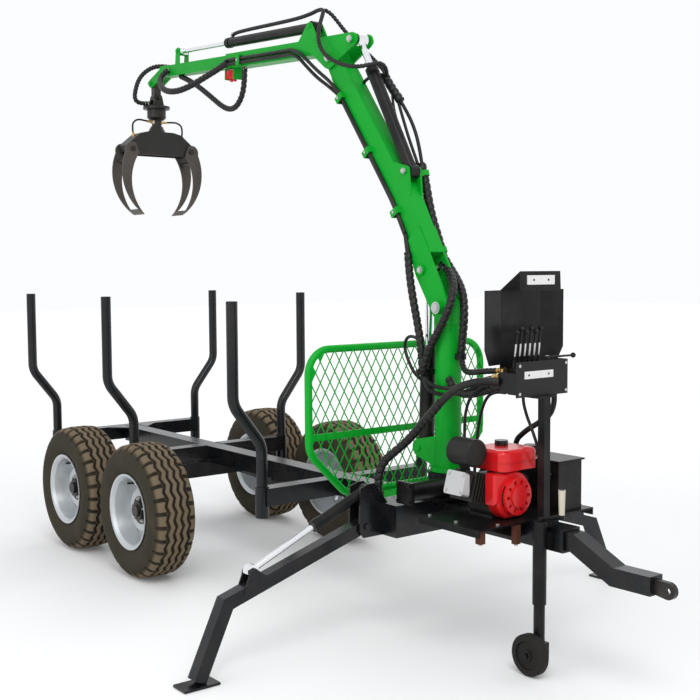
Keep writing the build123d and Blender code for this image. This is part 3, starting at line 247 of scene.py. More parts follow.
def wornAndShadedTread(mat, shades):
    # The tread's own attribute tells its worn faces from its side walls and from its grooves, which hold
    # painted shade
    tree = mat.node_tree
    wearAndShade = addNode(tree, "ShaderNodeAttribute", attribute_name="treadWearAndShade")
    ramp = tree.nodes.new("ShaderNodeValToRGB")
    steps = ramp.color_ramp.elements
    steps[0].color, steps[1].color = shades["groove"], shades["worn"]
    steps.new(sidewallLevel).color = shades["sidewall"]
    grime = next(n for n in tree.nodes if n.type == "GROUP")
    tree.links.new(wearAndShade.outputs["Fac"], ramp.inputs["Fac"])
    tree.links.new(ramp.outputs["Color"], grime.inputs["Color"])


wornAndShadedTread(rubber, treadShades)

# The finish of each node by the start of its name; the rest is black paint
looks = {
    "tyre_": rubber, "rim_": silver, "jockey_wheel": wheelRubber, "lift_rod": chrome, "jib_rod": chrome,
    "tele_rod": chrome, "leg_rod_": chrome, "column": green, "boom": green, "jib": green, "extension": green,
    "headboard_": green, "fan_cover": red, "fuel_tank": tankPaint, "engine_block": engineCast,
    "diverter_valve": red, "boom_hoses": hoseBlack, "jib_hoses": hoseBlack, "stand_hoses": hoseBlack,
    "air_cleaner": plastic, "link": darkSteel, "rotator": darkSteel, "grapple_head": grabPaint,
    "tine_": tineSteel, "muffler": darkSteel, "pump": darkSteel, "valve_block": valvePaint,
    "jib_barrel": black, "spine": chassisBlack, "bunk": chassisBlack, "stakes": chassisBlack,
    "drawbar": chassisBlack, "tow_eye": darkSteel, "stabiliser": chassisBlack,
}
edgeSpec = {"width": 0.0016, "segments": 2, "angle": math.radians(40)}


def lookFor(name):
    best = max((key for key in looks if name.startswith(key)), key=len, default=None)
    return looks[best] if best else black


for name, obj in nodes.items():
    mat = lookFor(name)
    if not obj.data.materials:
        obj.data.materials.append(mat)
    for slot in obj.material_slots:
        slot.material = mat
    if not name.startswith(("tyre_", "headboard_mesh")) and not name.endswith("_hoses"):
        soft = obj.modifiers.new("edge", "BEVEL")
        soft.limit_method, soft.angle_limit = "ANGLE", edgeSpec["angle"]
        soft.width, soft.segments = edgeSpec["width"], edgeSpec["segments"]
        soft.harden_normals = False
print("materials done")


# Helpers for added pieces

def finishPiece(name, bm, mat, body=None, smooth=False):
    mesh = bpy.data.meshes.new(name)
    bmesh.ops.recalc_face_normals(bm, faces=bm.faces)
    bm.to_mesh(mesh)
    bm.free()
    if smooth:
        mesh.shade_smooth()
    mesh.materials.append(mat)
    piece = bpy.data.objects.new(name, mesh)
    scene.collection.objects.link(piece)
    if body:
        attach(piece, body)
    return piece


def facing(place, axis):
    return Matrix.Translation(place) @ Vector(axis).to_track_quat("Z", "Y").to_matrix().to_4x4()


def addDisc(bm, place, axis, radius, depth, sides=6, tip=None):
    bmesh.ops.create_cone(bm, cap_ends=True, segments=sides, radius1=radius / 1000,
                          radius2=(radius if tip is None else tip) / 1000, depth=depth / 1000,
                          matrix=facing(place, axis))


def addBox(bm, low, high):
    low, high = at(*low), at(*high)
    bmesh.ops.create_cube(bm, size=1.0, matrix=Matrix.Translation((low + high) / 2)
                          @ Matrix.Diagonal((*(high - low), 1.0)))


def spinRing(bm, section, axis, steps):
    # Closes a section of (x, y, z) points and spins it once round the origin
    corners = [bm.verts.new(point) for point in section]
    edges = [bm.edges.new(pair) for pair in zip(corners, corners[1:] + corners[:1])]
    bmesh.ops.spin(bm, geom=corners + edges, cent=(0, 0, 0), axis=axis, angle=2 * math.pi, steps=steps,
                   use_merge=True)


# Tyres: the frame's carcass with zigzag grooves between five ribs, and slots between the shoulder's lugs
tyreSpec = {
    "crown": 380.0, "flat": 40.0, "edge": 84.0, "fall": 0.12, "crownStep": 2, "steps": 450, "waves": 30,
    "side": [(198, 103), (212, 111), (220, 113), (228, 117), (236, 119.8), (240, 121.5), (262, 128.5),
             (290, 132), (316, 129), (328, 125.6), (336, 122.6), (343, 118.8), (348, 116), (354, 112.6),
             (360, 108.4), (365, 103.4), (369.5, 97.6), (373, 91)],
    "grooves": (-63.0, -21.0, 21.0, 63.0), "swing": 8.0, "grooveHalf": 9.5, "grooveSlope": 2.5,
    "grooveEnd": 86, "depth": 13.0, "lugDepth": 13.0, "lugHalf": 0.15, "lugSlope": 0.05, "lugFrom": 66,
    # The last three: where the faces of the ribs begin to lighten as worn, over how much radius, and the
    # depth of cut at which the painted shade in a groove is darkest
    "lugEase": 4.0, "lugRadius": 338, "lugRise": 9.0, "wearFrom": 346, "wearOver": 16, "shadeDepth": 9,
    "sharp": math.radians(38),
}
wheelSpec = {"x": {"rear": -424, "front": 424}, "side": {"right": -1, "left": 1}, "track": 690, "radius": 380,
             "turn": 0.03}


def clamp(value):
    return min(1.0, max(0.0, value))


def tyreOutline(spec):
    # Half of the section from bead to crown as (radius, distance from the middle), then mirrored
    count = int(spec["edge"] / spec["crownStep"]) + 1
    crown = [(spec["crown"] - spec["fall"] * max(0.0, y - spec["flat"]), y)
             for y in (spec["edge"] - spec["crownStep"] * k for k in range(count))]
    half = spec["side"] + crown
    return half[:-1] + [(r, -y) for r, y in reversed(half)]


def treadCut(spec, r, y, turn):
    # How deep the tread is cut at a radius, a distance from the middle and a turn counted in waves
    groove = slot = 0.0
    part = turn % 1.0
    if abs(y) < spec["grooveEnd"]:
        wave = 2 * abs(part * 2 - 1) - 1
        gap = min(abs(y - g - spec["swing"] * wave) for g in spec["grooves"])
        groove = spec["depth"] * clamp((spec["grooveHalf"] - gap) / spec["grooveSlope"])
    if abs(y) > spec["lugFrom"] and r > spec["lugRadius"]:
        offset = part if y > 0 else (part + 0.5) % 1.0
        slot = spec["lugDepth"] * clamp((spec["lugHalf"] - abs(offset - 0.5)) / spec["lugSlope"])
        slot *= min(1.0, (r - spec["lugRadius"]) / spec["lugRise"])
        slot *= min(1.0, (abs(y) - spec["lugFrom"]) / spec["lugEase"])
    return max(groove, slot)


def spinTyre(spec):
    bm = bmesh.new()
    spinRing(bm, [(r / 1000, y / 1000, 0) for r, y in tyreOutline(spec)], (0, 1, 0), spec["steps"])
    wearAndShade = bm.verts.layers.float.new("treadWearAndShade")
    for v in bm.verts:
        r = math.hypot(v.co.x, v.co.z) * 1000
        turn = math.atan2(v.co.z, v.co.x) / (2 * math.pi) * spec["waves"]
        depth = treadCut(spec, r, v.co.y * 1000, turn)
        # The faces of the ribs are lighter where worn; painted shade darkens the tread with the depth of its
        # cut
        face = sidewallLevel + (1 - sidewallLevel) * clamp((r - spec["wearFrom"]) / spec["wearOver"])
        v[wearAndShade] = face * max(0.0, 1 - depth / spec["shadeDepth"])
        v.co.x, v.co.z = v.co.x * (1 - depth / r), v.co.z * (1 - depth / r)
    return bm


tyreForm = spinTyre(tyreSpec)
wheels = {}
for xTag, x in wheelSpec["x"].items():
    for yTag, side in wheelSpec["side"].items():
        tag = f"{xTag}_{yTag}"
        wheels[tag] = (at(x, side * wheelSpec["track"], wheelSpec["radius"]), side)
        bm = tyreForm.copy()
        turn = Matrix.Rotation(wheelSpec["turn"] * len(wheels), 3, "Y")
        bmesh.ops.rotate(bm, verts=bm.verts, cent=(0, 0, 0), matrix=turn)
        bmesh.ops.translate(bm, verts=bm.verts, vec=wheels[tag][0])
        tyre = finishPiece(f"tread_{tag}", bm, rubber, smooth=True)
        tyre.data.set_sharp_from_angle(angle=tyreSpec["sharp"])
        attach(tyre, f"wheel_{tag}")
        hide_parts(f"tyre_{tag}")
tyreForm.free()

# Dark hub over the rim's middle, nuts on studs, and a valve stem
hubSteps = ((78.6, 37, 40.8), (52.6, 40, 56.8), (34.6, 56, 74.8))  # radius, inner and outer face
hubSides = 48
nutSpec = {"count": 5, "circle": 65.5, "face": 40.8, "first": 0.3, "nut": 10.5, "nutHeight": 10, "stud": 5.5,
           "studLength": 18, "studSides": 12}
stemSpec = {"circle": 172.0, "angle": 2.2, "out": 42, "foot": 7, "tip": 5, "length": 44, "sides": 16}


def onWheel(centre, side, angle, circle, out):
    # A place on a circle round a wheel's axle, and so far out along it
    base = centre + Vector((math.cos(angle), 0, math.sin(angle))) * circle / 1000
    return base + Vector((0, side * out / 1000, 0))


for tag, (centre, side) in wheels.items():
    body, axis = f"wheel_{tag}", (0, side, 0)
    bm = bmesh.new()
    for radius, inner, outer in hubSteps:
        middle = centre + Vector((0, side * (inner + outer) / 2000, 0))
        addDisc(bm, middle, axis, radius, outer - inner, hubSides)
    finishPiece(f"hub_{tag}", bm, darkSteel, body)
    bm = bmesh.new()
    for k in range(nutSpec["count"]):
        angle = 2 * math.pi * k / nutSpec["count"] + nutSpec["first"]
        for tall, radius, sides in ((nutSpec["nutHeight"], nutSpec["nut"], 6),
                                    (nutSpec["studLength"], nutSpec["stud"], nutSpec["studSides"])):
            place = onWheel(centre, side, angle, nutSpec["circle"], nutSpec["face"] + tall / 2)
            addDisc(bm, place, axis, radius, tall, sides)
    finishPiece(f"wheelNuts_{tag}", bm, steel, body)
    bm = bmesh.new()
    place = onWheel(centre, side, stemSpec["angle"], stemSpec["circle"], stemSpec["out"])
    addDisc(bm, place, axis, stemSpec["foot"], stemSpec["length"], stemSpec["sides"], stemSpec["tip"])
    finishPiece(f"valveStem_{tag}", bm, plastic, body)
print("wheels done")

# Hoses: a route in the drawing frame is the control line of a spline, and a tube follows the spline.
# rise is how far a spiral guard swells between its turns, lead a direction that is no hose's own
tubeSpec = {"sides": 16, "rise": 4.2, "steepness": 1.5, "plainStep": 0.012, "wrapStep": 0.0028,
            "lead": (0.31, 0.42, 0.85), "order": 3, "smoothness": 40}


def routeLine(points):
    curve = bpy.data.curves.new("route", "CURVE")
    curve.dimensions = "3D"
    line = curve.splines.new("NURBS")
    line.points.add(len(points) - 1)
    for point, place in zip(line.points, points):
        point.co = (*at(*place), 1)
    line.order_u, line.use_endpoint_u, line.resolution_u = tubeSpec["order"], True, tubeSpec["smoothness"]
    holder = bpy.data.objects.new("route", curve)
    mesh = bpy.data.meshes.new_from_object(holder)
    found = [v.co.copy() for v in mesh.vertices]
    bpy.data.objects.remove(holder)
    bpy.data.curves.remove(curve)
    bpy.data.meshes.remove(mesh)
    return found


def evenly(line, spacing):
    lengths = [0.0]
    for a, b in zip(line, line[1:]):
        lengths.append(lengths[-1] + (b - a).length)
    count = max(2, round(lengths[-1] / spacing))
    places, k = [], 0
    for i in range(count + 1):
        goal = lengths[-1] * i / count
        while k < len(line) - 2 and lengths[k + 1] < goal:
            k += 1
        part = (goal - lengths[k]) / max(1e-9, lengths[k + 1] - lengths[k])
        places.append(line[k].lerp(line[k + 1], min(1.0, part)))
    return places, lengths[-1]


def tubeAlong(bm, line, radius, wrap=0.0):
    # A plain hose, or with wrap the pitch of a spiral guard wound on it
    places, total = evenly(line, tubeSpec["wrapStep"] if wrap else tubeSpec["plainStep"])
    sides, rise, up = tubeSpec["sides"], tubeSpec["rise"], Vector(tubeSpec["lead"])
    rings = []
    for i, place in enumerate(places):
        ahead = (places[min(i + 1, len(places) - 1)] - places[max(i - 1, 0)]).normalized()
        up = (up - ahead * up.dot(ahead)).normalized()
        out = ahead.cross(up)
        travel = total * i / (len(places) - 1)
        ring = []
        for k in range(sides):
            angle = 2 * math.pi * k / sides
            r = radius
            if wrap:
                turn = (travel * 1000 / wrap - k / sides) % 1.0
                r += rise * min(1.0, math.sin(math.pi * turn) * tubeSpec["steepness"]) - rise / 2
            ring.append(bm.verts.new(place + (up * math.cos(angle) + out * math.sin(angle)) * r / 1000))
        rings.append(ring)
    for here, there in zip(rings, rings[1:]):
        for k in range(sides):
            bm.faces.new((here[k], here[(k + 1) % sides], there[(k + 1) % sides], there[k]))
    bm.faces.new(rings[0])
    bm.faces.new(rings[-1])
    return total


# Lines of the boom's two legs and the jib, in x and z, from the frame's own pivots
pivot, kink, jibPivot = Vector((2185, 1551)), Vector((1880, 2100)), Vector((1333, 2834))
jibSlope = math.radians(3.7)
lowerWay, upperWay = (kink - pivot).normalized(), (jibPivot - kink).normalized()
jibWay = Vector((-math.cos(jibSlope), math.sin(jibSlope)))


def along(origin, way, s, n, y):
    # s along a boom or jib line, n to its left, y across
    return (origin[0] + s * way[0] - n * way[1], y, origin[1] + s * way[1] + n * way[0])


# Places where a hose goes on, as the next route or as the frame's own hoses along the jib
edgeTop, underTop = along(kink, upperWay, 715, 47, -52.9), along(kink, upperWay, 715, 69.9, -34)
edgeLow, underLow = along(pivot, lowerWay, 430, 47, -52.9), along(pivot, lowerWay, 430, 69.9, -34)
jibHigh, jibLow = along(jibPivot, jibWay, 350, -72, -55.9), along(jibPivot, jibWay, 350, -48, -55.9)
jibEnd = along(jibPivot, jibWay, 1006, -60, -56)

# Bodies at the start and end, radius, pitch of the spiral guard or 0, and route
hoses = {
    "hoseEdge": {"bodies": ("boom", "boom"), "radius": 9.5, "wrap": 0,
        "route": [edgeTop, along(kink, upperWay, 60, 48, -53), along(kink, upperWay, 0, 49, -53),
                  along(pivot, lowerWay, 568, 48, -53), edgeLow]},
    "hoseUnder": {"bodies": ("boom", "boom"), "radius": 9.5, "wrap": 0,
        "route": [underTop, along(kink, upperWay, 60, 71, -34), along(kink, upperWay, 0, 74, -34),
                  along(pivot, lowerWay, 568, 71, -34), underLow]},
    "strandOuter": {"bodies": ("boom", "boom"), "radius": 9, "wrap": 0,
        "route": [(1736, 80, 2590), (1798, 86, 2509), (1851, 87, 2420), (1881, 88, 2334), (1903, 88, 2239),
                  (1920, 88, 2180)]},
    "strandMiddle": {"bodies": ("boom", "boom"), "radius": 8, "wrap": 0,
        "route": [(1726, 78, 2590), (1776, 74, 2480), (1822, 74, 2375), (1872, 80, 2265), (1908, 85, 2180)]},
    "strandInner": {"bodies": ("boom", "boom"), "radius": 7, "wrap": 0,
        "route": [(1690, 74, 2640), (1708, 62, 2560), (1766, 56, 2430), (1830, 60, 2310), (1880, 78, 2224),
                  (1902, 82, 2184)]},
    "hoseEdgeDown": {"bodies": ("boom", "column"), "radius": 9.5, "wrap": 0,
        "route": [edgeLow, (1952, -56, 1868), (1968, -62, 1825), (1978, -67, 1775)]},
    "hoseUnderDown": {"bodies": ("boom", "column"), "radius": 9.5, "wrap": 0,
        "route": [underLow, (1936, -46, 1852), (1956, -56, 1812), (1972, -66, 1770)]},
    "hoseWrapRight": {"bodies": ("boom", "column"), "radius": 18, "wrap": 32,
        "route": [(1968, -63, 1812), (1990, -73, 1705), (2024, -80, 1590), (2062, -84, 1470),
                  (2094, -86, 1350), (2096, -84, 1240)]},
    "hoseWrapFront": {"bodies": ("boom", "column"), "radius": 18, "wrap": 32,
        "route": [(2040, 95, 1806), (2098, 92, 1742), (2156, 78, 1694), (2218, 52, 1646), (2272, 20, 1588),
                  (2294, 0, 1495), (2282, 0, 1400), (2272, 0, 1318)]},
    "hoseWrapAcross": {"bodies": ("boom", "column"), "radius": 18, "wrap": 32,
        "route": [(2046, 66, 1792), (2112, 58, 1738), (2190, 24, 1690), (2262, -38, 1630), (2278, -84, 1545),
                  (2228, -98, 1450), (2152, -98, 1352), (2106, -92, 1246)]},
    "hoseElbowUpper": {"bodies": ("boom", "jib"), "radius": 9.5, "wrap": 0,
        "route": [edgeTop, (1352, -58, 2707), (1250, -66, 2776), (1142, -68, 2858), (1066, -62, 2908),
                  jibHigh]},
    "hoseElbowLower": {"bodies": ("boom", "jib"), "radius": 9.5, "wrap": 0,
        "route": [underTop, (1330, -42, 2682), (1228, -54, 2746), (1126, -60, 2828), (1058, -58, 2882),
                  jibLow]},
    "hoseTeleNear": {"bodies": ("boom", "jib"), "radius": 9, "wrap": 20,
        "route": [(1650, 70, 2702), (1688, 46, 2730), (1696, 0, 2764), (1680, -56, 2750), (1630, -94, 2742),
                  (1540, -98, 2760), (1459, -99, 2787), (1373, -99, 2830), (1317, -97, 2881),
                  (1290, -92, 2931), (1272, -76, 2986), (1256, -45, 3048), (1228, -6, 3106), (1176, 0, 3118),
                  (1096, 0, 3108), (980, 0, 3106), (800, 0, 3114), (620, 0, 3124), (460, 0, 3132),
                  (350, 0, 3135), (304, 0, 3128), (300, 0, 3104)]},
    "hoseTeleFar": {"bodies": ("boom", "jib"), "radius": 9, "wrap": 20,
        "route": [(1644, 80, 2708), (1610, 92, 2742), (1548, 99, 2790), (1470, 99, 2850), (1372, 97, 2922),
                  (1292, 88, 2992), (1252, 60, 3056), (1230, 28, 3100), (1206, 14, 3112)]},
    "hoseBoomTop": {"bodies": ("boom", "boom"), "radius": 9, "wrap": 0,
        "route": [along(kink, upperWay, 690, -60, 32), along(kink, upperWay, 694, -84, 34), (1572, 42, 2714),
                  (1612, 58, 2722), (1640, 68, 2716), (1656, 73, 2696)]},
    "hoseLoopRear": {"bodies": ("column", "column"), "radius": 8, "wrap": 0,
        "route": [(2106, -92, 1330), (2098, -96, 1388), (2040, -88, 1412), (1976, -76, 1406),
                  (1946, -70, 1358), (1980, -74, 1290), (2046, -84, 1222), (2092, -86, 1206)]},
    "hoseValveFront": {"bodies": ("chassis", "column"), "radius": 12, "wrap": 26,
        "route": [(2666, -112, 1290), (2572, -112, 1284), (2462, -92, 1268), (2362, -50, 1258),
                  (2300, -14, 1276), (2274, 0, 1328)]},
    "hoseValveUpper": {"bodies": ("chassis", "column"), "radius": 9.5, "wrap": 0,
        "route": [(2666, -146, 1270), (2562, -140, 1248), (2442, -112, 1208), (2316, -100, 1182),
                  (2212, -100, 1180), (2134, -96, 1200), (2098, -84, 1246)]},
    "hoseValveLower": {"bodies": ("chassis", "column"), "radius": 9.5, "wrap": 0,
        "route": [(2666, -124, 1262), (2556, -118, 1230), (2432, -96, 1184), (2310, -92, 1152),
                  (2206, -94, 1146), (2128, -94, 1168), (2100, -90, 1240)]},
    "hoseValveThick": {"bodies": ("chassis", "column"), "radius": 17, "wrap": 32,
        "route": [(2666, -140, 1226), (2572, -134, 1196), (2452, -104, 1168), (2352, -74, 1160),
                  (2288, -62, 1178), (2244, -50, 1218)]},
    "hoseReachNear": {"bodies": ("jib", "extension"), "radius": 17, "wrap": 30,
        "route": [jibEnd, (286, -74, 2932), (159, -112, 2887), (48, -156, 2841), (-53, -192, 2822),
                  (-186, -196, 2846), (-349, -138, 2920), (-417, -83, 2986), (-396, -48, 3018)]},
    "hoseReachLoop": {"bodies": ("jib", "extension"), "radius": 15, "wrap": 30,
        "route": [(460, -15, 2914), (456, -15, 2830), (428, -15, 2752), (366, -15, 2698), (292, -15, 2690),
                  (212, -15, 2716), (108, -15, 2774), (3, -15, 2834), (-120, -15, 2898), (-226, -15, 2942),
                  (-292, -15, 2966)]},
    "hoseTipUpper": {"bodies": ("extension", "link"), "radius": 13, "wrap": 20,
        "route": [(-500, 20, 3058), (-560, 4, 3072), (-610, -40, 3070), (-642, -96, 3030), (-656, -138, 2965),
                  (-660, -150, 2905)]},
    "hoseTipLower": {"bodies": ("link", "rotator"), "radius": 13, "wrap": 20,
        "route": [(-660, -150, 2905), (-662, -156, 2875), (-662, -144, 2842), (-658, -104, 2830),
                  (-655, -52, 2836)]},
    "hoseGrabNear": {"bodies": ("grapple", "grapple"), "radius": 6, "wrap": 0,
        "route": [(-655, -30, 2714), (-655, -87, 2722), (-655, -146, 2728), (-655, -188, 2686),
                  (-655, -166, 2596)]},
    "hoseGrabFar": {"bodies": ("grapple", "grapple"), "radius": 6, "wrap": 0,
        "route": [(-655, 30, 2714), (-655, 95, 2722), (-655, 162, 2724), (-655, 202, 2686),
                  (-655, 182, 2592)]},
}

lines, hoseLengths = {}, {}
for name, spec in hoses.items():
    bm = bmesh.new()
    lines[name] = routeLine(spec["route"])
    hoseLengths[name] = round(tubeAlong(bm, lines[name], spec["radius"], spec["wrap"]), 3)
    piece = finishPiece(name, bm, wrapBlack if spec["wrap"] else hoseBlack, smooth=True)
    first, last = spec["bodies"]
    if first == last:
        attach(piece, first)
    else:
        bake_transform(piece)
print("hoses done", hoseLengths)

# Spiral guards over the bundles
guardPitch = 34
guards = {
    "guardTop": {"body": "boom", "radius": 21,
        "route": [(1634, 72, 2716), (1662, 74, 2676), (1700, 76, 2630), (1748, 80, 2576)]},
    "guardBoom": {"body": "boom", "radius": 21.5,
        "route": [(1898, 86, 2250), (1925, 87, 2169), (1947, 88, 2071), (1968, 91, 1990), (2008, 93, 1894),
                  (2045, 95, 1800)]},
    "guardLegs": {"body": "chassis", "radius": 18.5,
        "route": [(2410, -255, 1142), (2300, -258, 1040), (2195, -256, 948), (2125, -270, 890),
                  (2074, -295, 845), (2047, -315, 785), (2052, -325, 715)]},
}

for name, spec in guards.items():
    bm = bmesh.new()
    tubeAlong(bm, routeLine(spec["route"]), spec["radius"], guardPitch)
    guard = finishPiece(name, bm, wrapBlack, spec["body"], smooth=True)
    if name == "guardBoom":
        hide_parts("boom_hoses")

# Hexagon nuts and crimped sleeves where hoses meet valves, rams and the rotator
fittingSpec = {"sight": 8, "nutAt": 0.006, "nutWide": 1.25, "nutLong": 12, "sleeveAt": 0.026,
               "sleeveWide": 1.08, "sleeveLong": 34, "sleeveSides": 16}
ends = (
    # body, hose, which end of it, radius, material
    ("chassis", "hoseValveFront", "start", 13, brass), ("chassis", "hoseValveUpper", "start", 11, brass),
    ("chassis", "hoseValveLower", "start", 11, steel), ("chassis", "hoseValveThick", "start", 14, brass),
    ("jib", "hoseTeleNear", "end", 9, steel), ("extension", "hoseReachNear", "end", 12, steel),
    ("jib", "hoseReachLoop", "start", 12, steel), ("extension", "hoseReachLoop", "end", 12, steel),
    ("extension", "hoseTipUpper", "start", 12, steel), ("rotator", "hoseTipLower", "end", 12, steel),
    ("grapple", "hoseGrabNear", "start", 7.5, brass), ("grapple", "hoseGrabNear", "end", 7.5, brass),
    ("grapple", "hoseGrabFar", "start", 7.5, brass), ("grapple", "hoseGrabFar", "end", 7.5, brass),
)
for body, hose, which, radius, mat in ends:
    line = lines[hose] if which == "start" else lines[hose][::-1]
    way = (line[fittingSpec["sight"]] - line[0]).normalized()
    bm = bmesh.new()
    addDisc(bm, line[0] + way * fittingSpec["nutAt"], way, radius * fittingSpec["nutWide"],
            fittingSpec["nutLong"])
    addDisc(bm, line[0] + way * fittingSpec["sleeveAt"], way, radius * fittingSpec["sleeveWide"],
            fittingSpec["sleeveLong"], fittingSpec["sleeveSides"])
    finishPiece(f"fitting_{hose}_{which}", bm, mat, body)
print("fittings done")

# Clips that hold the hoses: straps round the boom's lower right corner, and one on the jib
strap = {"length": 34, "sheet": 4, "lip": 3, "boomSide": -43, "boomUnder": (60.5, -22, -18), "jibSide": -46.5,
         "bolt": 8, "boltHeight": 6}
upperLine, lowerLine, jibLine = (kink, upperWay), (pivot, lowerWay), (jibPivot, jibWay)
clips = {
    # body, line, s along it, n from and to, y of the hose side, and whether it goes round the under hose
    "clipTop": {"body": "boom", "line": upperLine, "s": 684, "n": (30, 82), "y": -64, "under": True},
    "clipMiddle": {"body": "boom", "line": upperLine, "s": 314, "n": (30, 82), "y": -64, "under": True},
    "clipLow": {"body": "boom", "line": lowerLine, "s": 556, "n": (30, 82), "y": -64, "under": True},
    "clipJib": {"body": "jib", "line": jibLine, "s": 872, "n": (-88, -34), "y": -67, "under": False},
}
for name, spec in clips.items():
    (origin, way), (n0, n1), s, y = spec["line"], spec["n"], spec["s"], spec["y"]
    sheet, lip = strap["sheet"], strap["lip"]
    slabs = [(n0, n1, y - sheet, y), (n0 - lip, n0 + lip, y - sheet, strap["boomSide"])]
    if spec["under"]:
        inner, hookLow, hookHigh = strap["boomUnder"]
        slabs += [(n1 - sheet, n1, y, hookHigh), (inner, n1, hookLow, hookHigh)]
    else:
        slabs.append((n1 - lip, n1 + lip, y - sheet, strap["jibSide"]))
    lengthways, across = Vector((way[0], 0, way[1])), Vector((-way[1], 0, way[0]))
    turn = Matrix((lengthways, across, (0, 1, 0))).transposed().to_4x4()
    bm = bmesh.new()
    for a, b, y0, y1 in slabs:
        size = Vector((strap["length"], abs(b - a), abs(y1 - y0))) / 1000
        middle = Matrix.Translation(at(*along(origin, way, s, (a + b) / 2, (y0 + y1) / 2)))
        bmesh.ops.create_cube(bm, size=1.0, matrix=middle @ turn @ Matrix.Diagonal((*size, 1.0)))
    finishPiece(name, bm, green, spec["body"])
    bm = bmesh.new()
    head = at(*along(origin, way, s, (n0 + n1) / 2, y - sheet - strap["boltHeight"] / 2))
    addDisc(bm, head, (0, -1, 0), strap["bolt"], strap["boltHeight"])
    finishPiece(f"{name}Bolt", bm, steel, spec["body"])

# Bands round the bundles, each on a small plate
bandSpec = {"half": 13, "sheet": 4, "steps": 28}
bands = {
    "bandLow": {"body": "boom", "middle": (2036, 94.5, 1822), "way": (48, 3, -132), "inner": 24,
        "plate": ((2006, 44, 1808), (2052, 74, 1836)), "finish": green},
    "bandHigh": {"body": "boom", "middle": (1916, 86.6, 2200), "way": (30, 3, -113), "inner": 24,
        "plate": ((1906, 44, 2188), (1946, 62, 2216)), "finish": green},
    "bandColumnRear": {"body": "column", "middle": (2100, -88, 1246), "way": (0.1, 0.1, -1), "inner": 27,
        "plate": ((2086, -66, 1234), (2140, -40, 1258)), "finish": black},
    "bandColumnFront": {"body": "column", "middle": (2273, 0, 1322), "way": (0, 0, -1), "inner": 21,
        "plate": ((2244, -16, 1310), (2256, 16, 1334)), "finish": black},
}

for name, spec in bands.items():
    bm = bmesh.new()
    inner, outer, half = spec["inner"], spec["inner"] + bandSpec["sheet"], bandSpec["half"]
    section = ((inner, -half), (outer, -half), (outer, half), (inner, half))
    spinRing(bm, [(r / 1000, 0, h / 1000) for r, h in section], (0, 0, 1), bandSpec["steps"])
    bmesh.ops.transform(bm, matrix=facing(at(*spec["middle"]), spec["way"]), verts=bm.verts)
    addBox(bm, *spec["plate"])
    finishPiece(name, bm, spec["finish"], spec["body"])
print("clips done")

# Blank plates on the hood's lip and the valve panel, with two screws each, and the panel's bolts
plates = {"plateHood": {"low": (2766, -86, 1664), "high": (2769.5, 86, 1704), "screws": (-46, 46)},
          "platePanel": {"low": (2784.5, -118, 1262), "high": (2787, 62, 1294), "screws": (-92, 32)}}
screwSpec = {"out": 0.8, "radius": 4.5, "height": 2, "sides": 12}
panelBolts = {"x": 2787.5, "y": (-150, 142), "z": (1200, 1320), "radius": 7.5, "height": 6}
for name, spec in plates.items():
    low, high = spec["low"], spec["high"]
    bm = bmesh.new()
    addBox(bm, low, high)
    finishPiece(name, bm, white, "chassis")
    bm = bmesh.new()
    for y in spec["screws"]:
        place = at(high[0] + screwSpec["out"], y, (low[2] + high[2]) / 2)
        addDisc(bm, place, (1, 0, 0), screwSpec["radius"], screwSpec["height"], screwSpec["sides"])
    finishPiece(f"{name}Screws", bm, darkSteel, "chassis")
bm = bmesh.new()
for y in panelBolts["y"]:
    for z in panelBolts["z"]:
        addDisc(bm, at(panelBolts["x"], y, z), (1, 0, 0), panelBolts["radius"], panelBolts["height"])
finishPiece("panelBolts", bm, steel, "chassis")

# Knobs on the levers and the grip sleeve of the jack's crank
knobSpec = {"first": (2703, -79, 1458), "count": 6, "pitch": 30, "stagger": 15, "radius": 0.0112,
            "sideKnob": (2755, 228, 1346), "sideRadius": 0.0122, "around": 20, "rings": 12}
gripSpec = {"place": (2900, -5, 734), "low": 12.4, "high": 15.5, "length": 108, "sides": 24}


def addKnob(bm, place, radius):
    bmesh.ops.create_uvsphere(bm, u_segments=knobSpec["around"], v_segments=knobSpec["rings"], radius=radius,
                              matrix=Matrix.Translation(at(*place)))


bm = bmesh.new()
x, y, z = knobSpec["first"]
for i in range(knobSpec["count"]):
    addKnob(bm, (x, y + knobSpec["pitch"] * i, z + knobSpec["stagger"] * (i % 2)), knobSpec["radius"])
addKnob(bm, knobSpec["sideKnob"], knobSpec["sideRadius"])
finishPiece("leverKnobs", bm, plastic, "chassis", smooth=True)
bm = bmesh.new()
addDisc(bm, at(*gripSpec["place"]), (0, 0, 1), gripSpec["low"], gripSpec["length"], gripSpec["sides"],
        gripSpec["high"])
finishPiece("crankGrip", bm, cream, "chassis")

# Engine: seam round the tank, bolts on the head's cover, slats in the pull starter's side
engineSpec = {"crank": (2570, -85, 742), "tilt": -16.0,
              "seam": ((2485.5, -174.5, 891), (2714.5, 64.5, 895.5)), "corner": 0.040, "cornerSteps": 8,
              "boltFace": -248, "bolt": 7, "boltHeight": 6,
              "coverBolts": ((-44, -38), (-44, 38), (44, -38), (44, 38)), "drumX": 2707, "drumRadius": 81.6,
              "slats": (150, 162, 174, 186, 198), "slat": (0.008, 0.022, 0.003)}
crank = Vector(engineSpec["crank"])
bm = bmesh.new()
addBox(bm, *engineSpec["seam"])
upright = [e for e in bm.edges if abs(e.verts[0].co.z - e.verts[1].co.z) > 0.001]
bmesh.ops.bevel(bm, geom=upright, offset=engineSpec["corner"], offset_type="OFFSET", affect="EDGES",
                segments=engineSpec["cornerSteps"], profile=0.5, material=-1)
finishPiece("tankSeam", bm, red, "chassis")
lean = Matrix.Rotation(math.radians(engineSpec["tilt"]), 3, "X")
bm = bmesh.new()
for x, z in engineSpec["coverBolts"]:
    place = at(*(crank + lean @ Vector((x, engineSpec["boltFace"], z))))
    addDisc(bm, place, lean @ Vector((0, -1, 0)), engineSpec["bolt"], engineSpec["boltHeight"])
finishPiece("coverBolts", bm, steel, "chassis")
bm = bmesh.new()
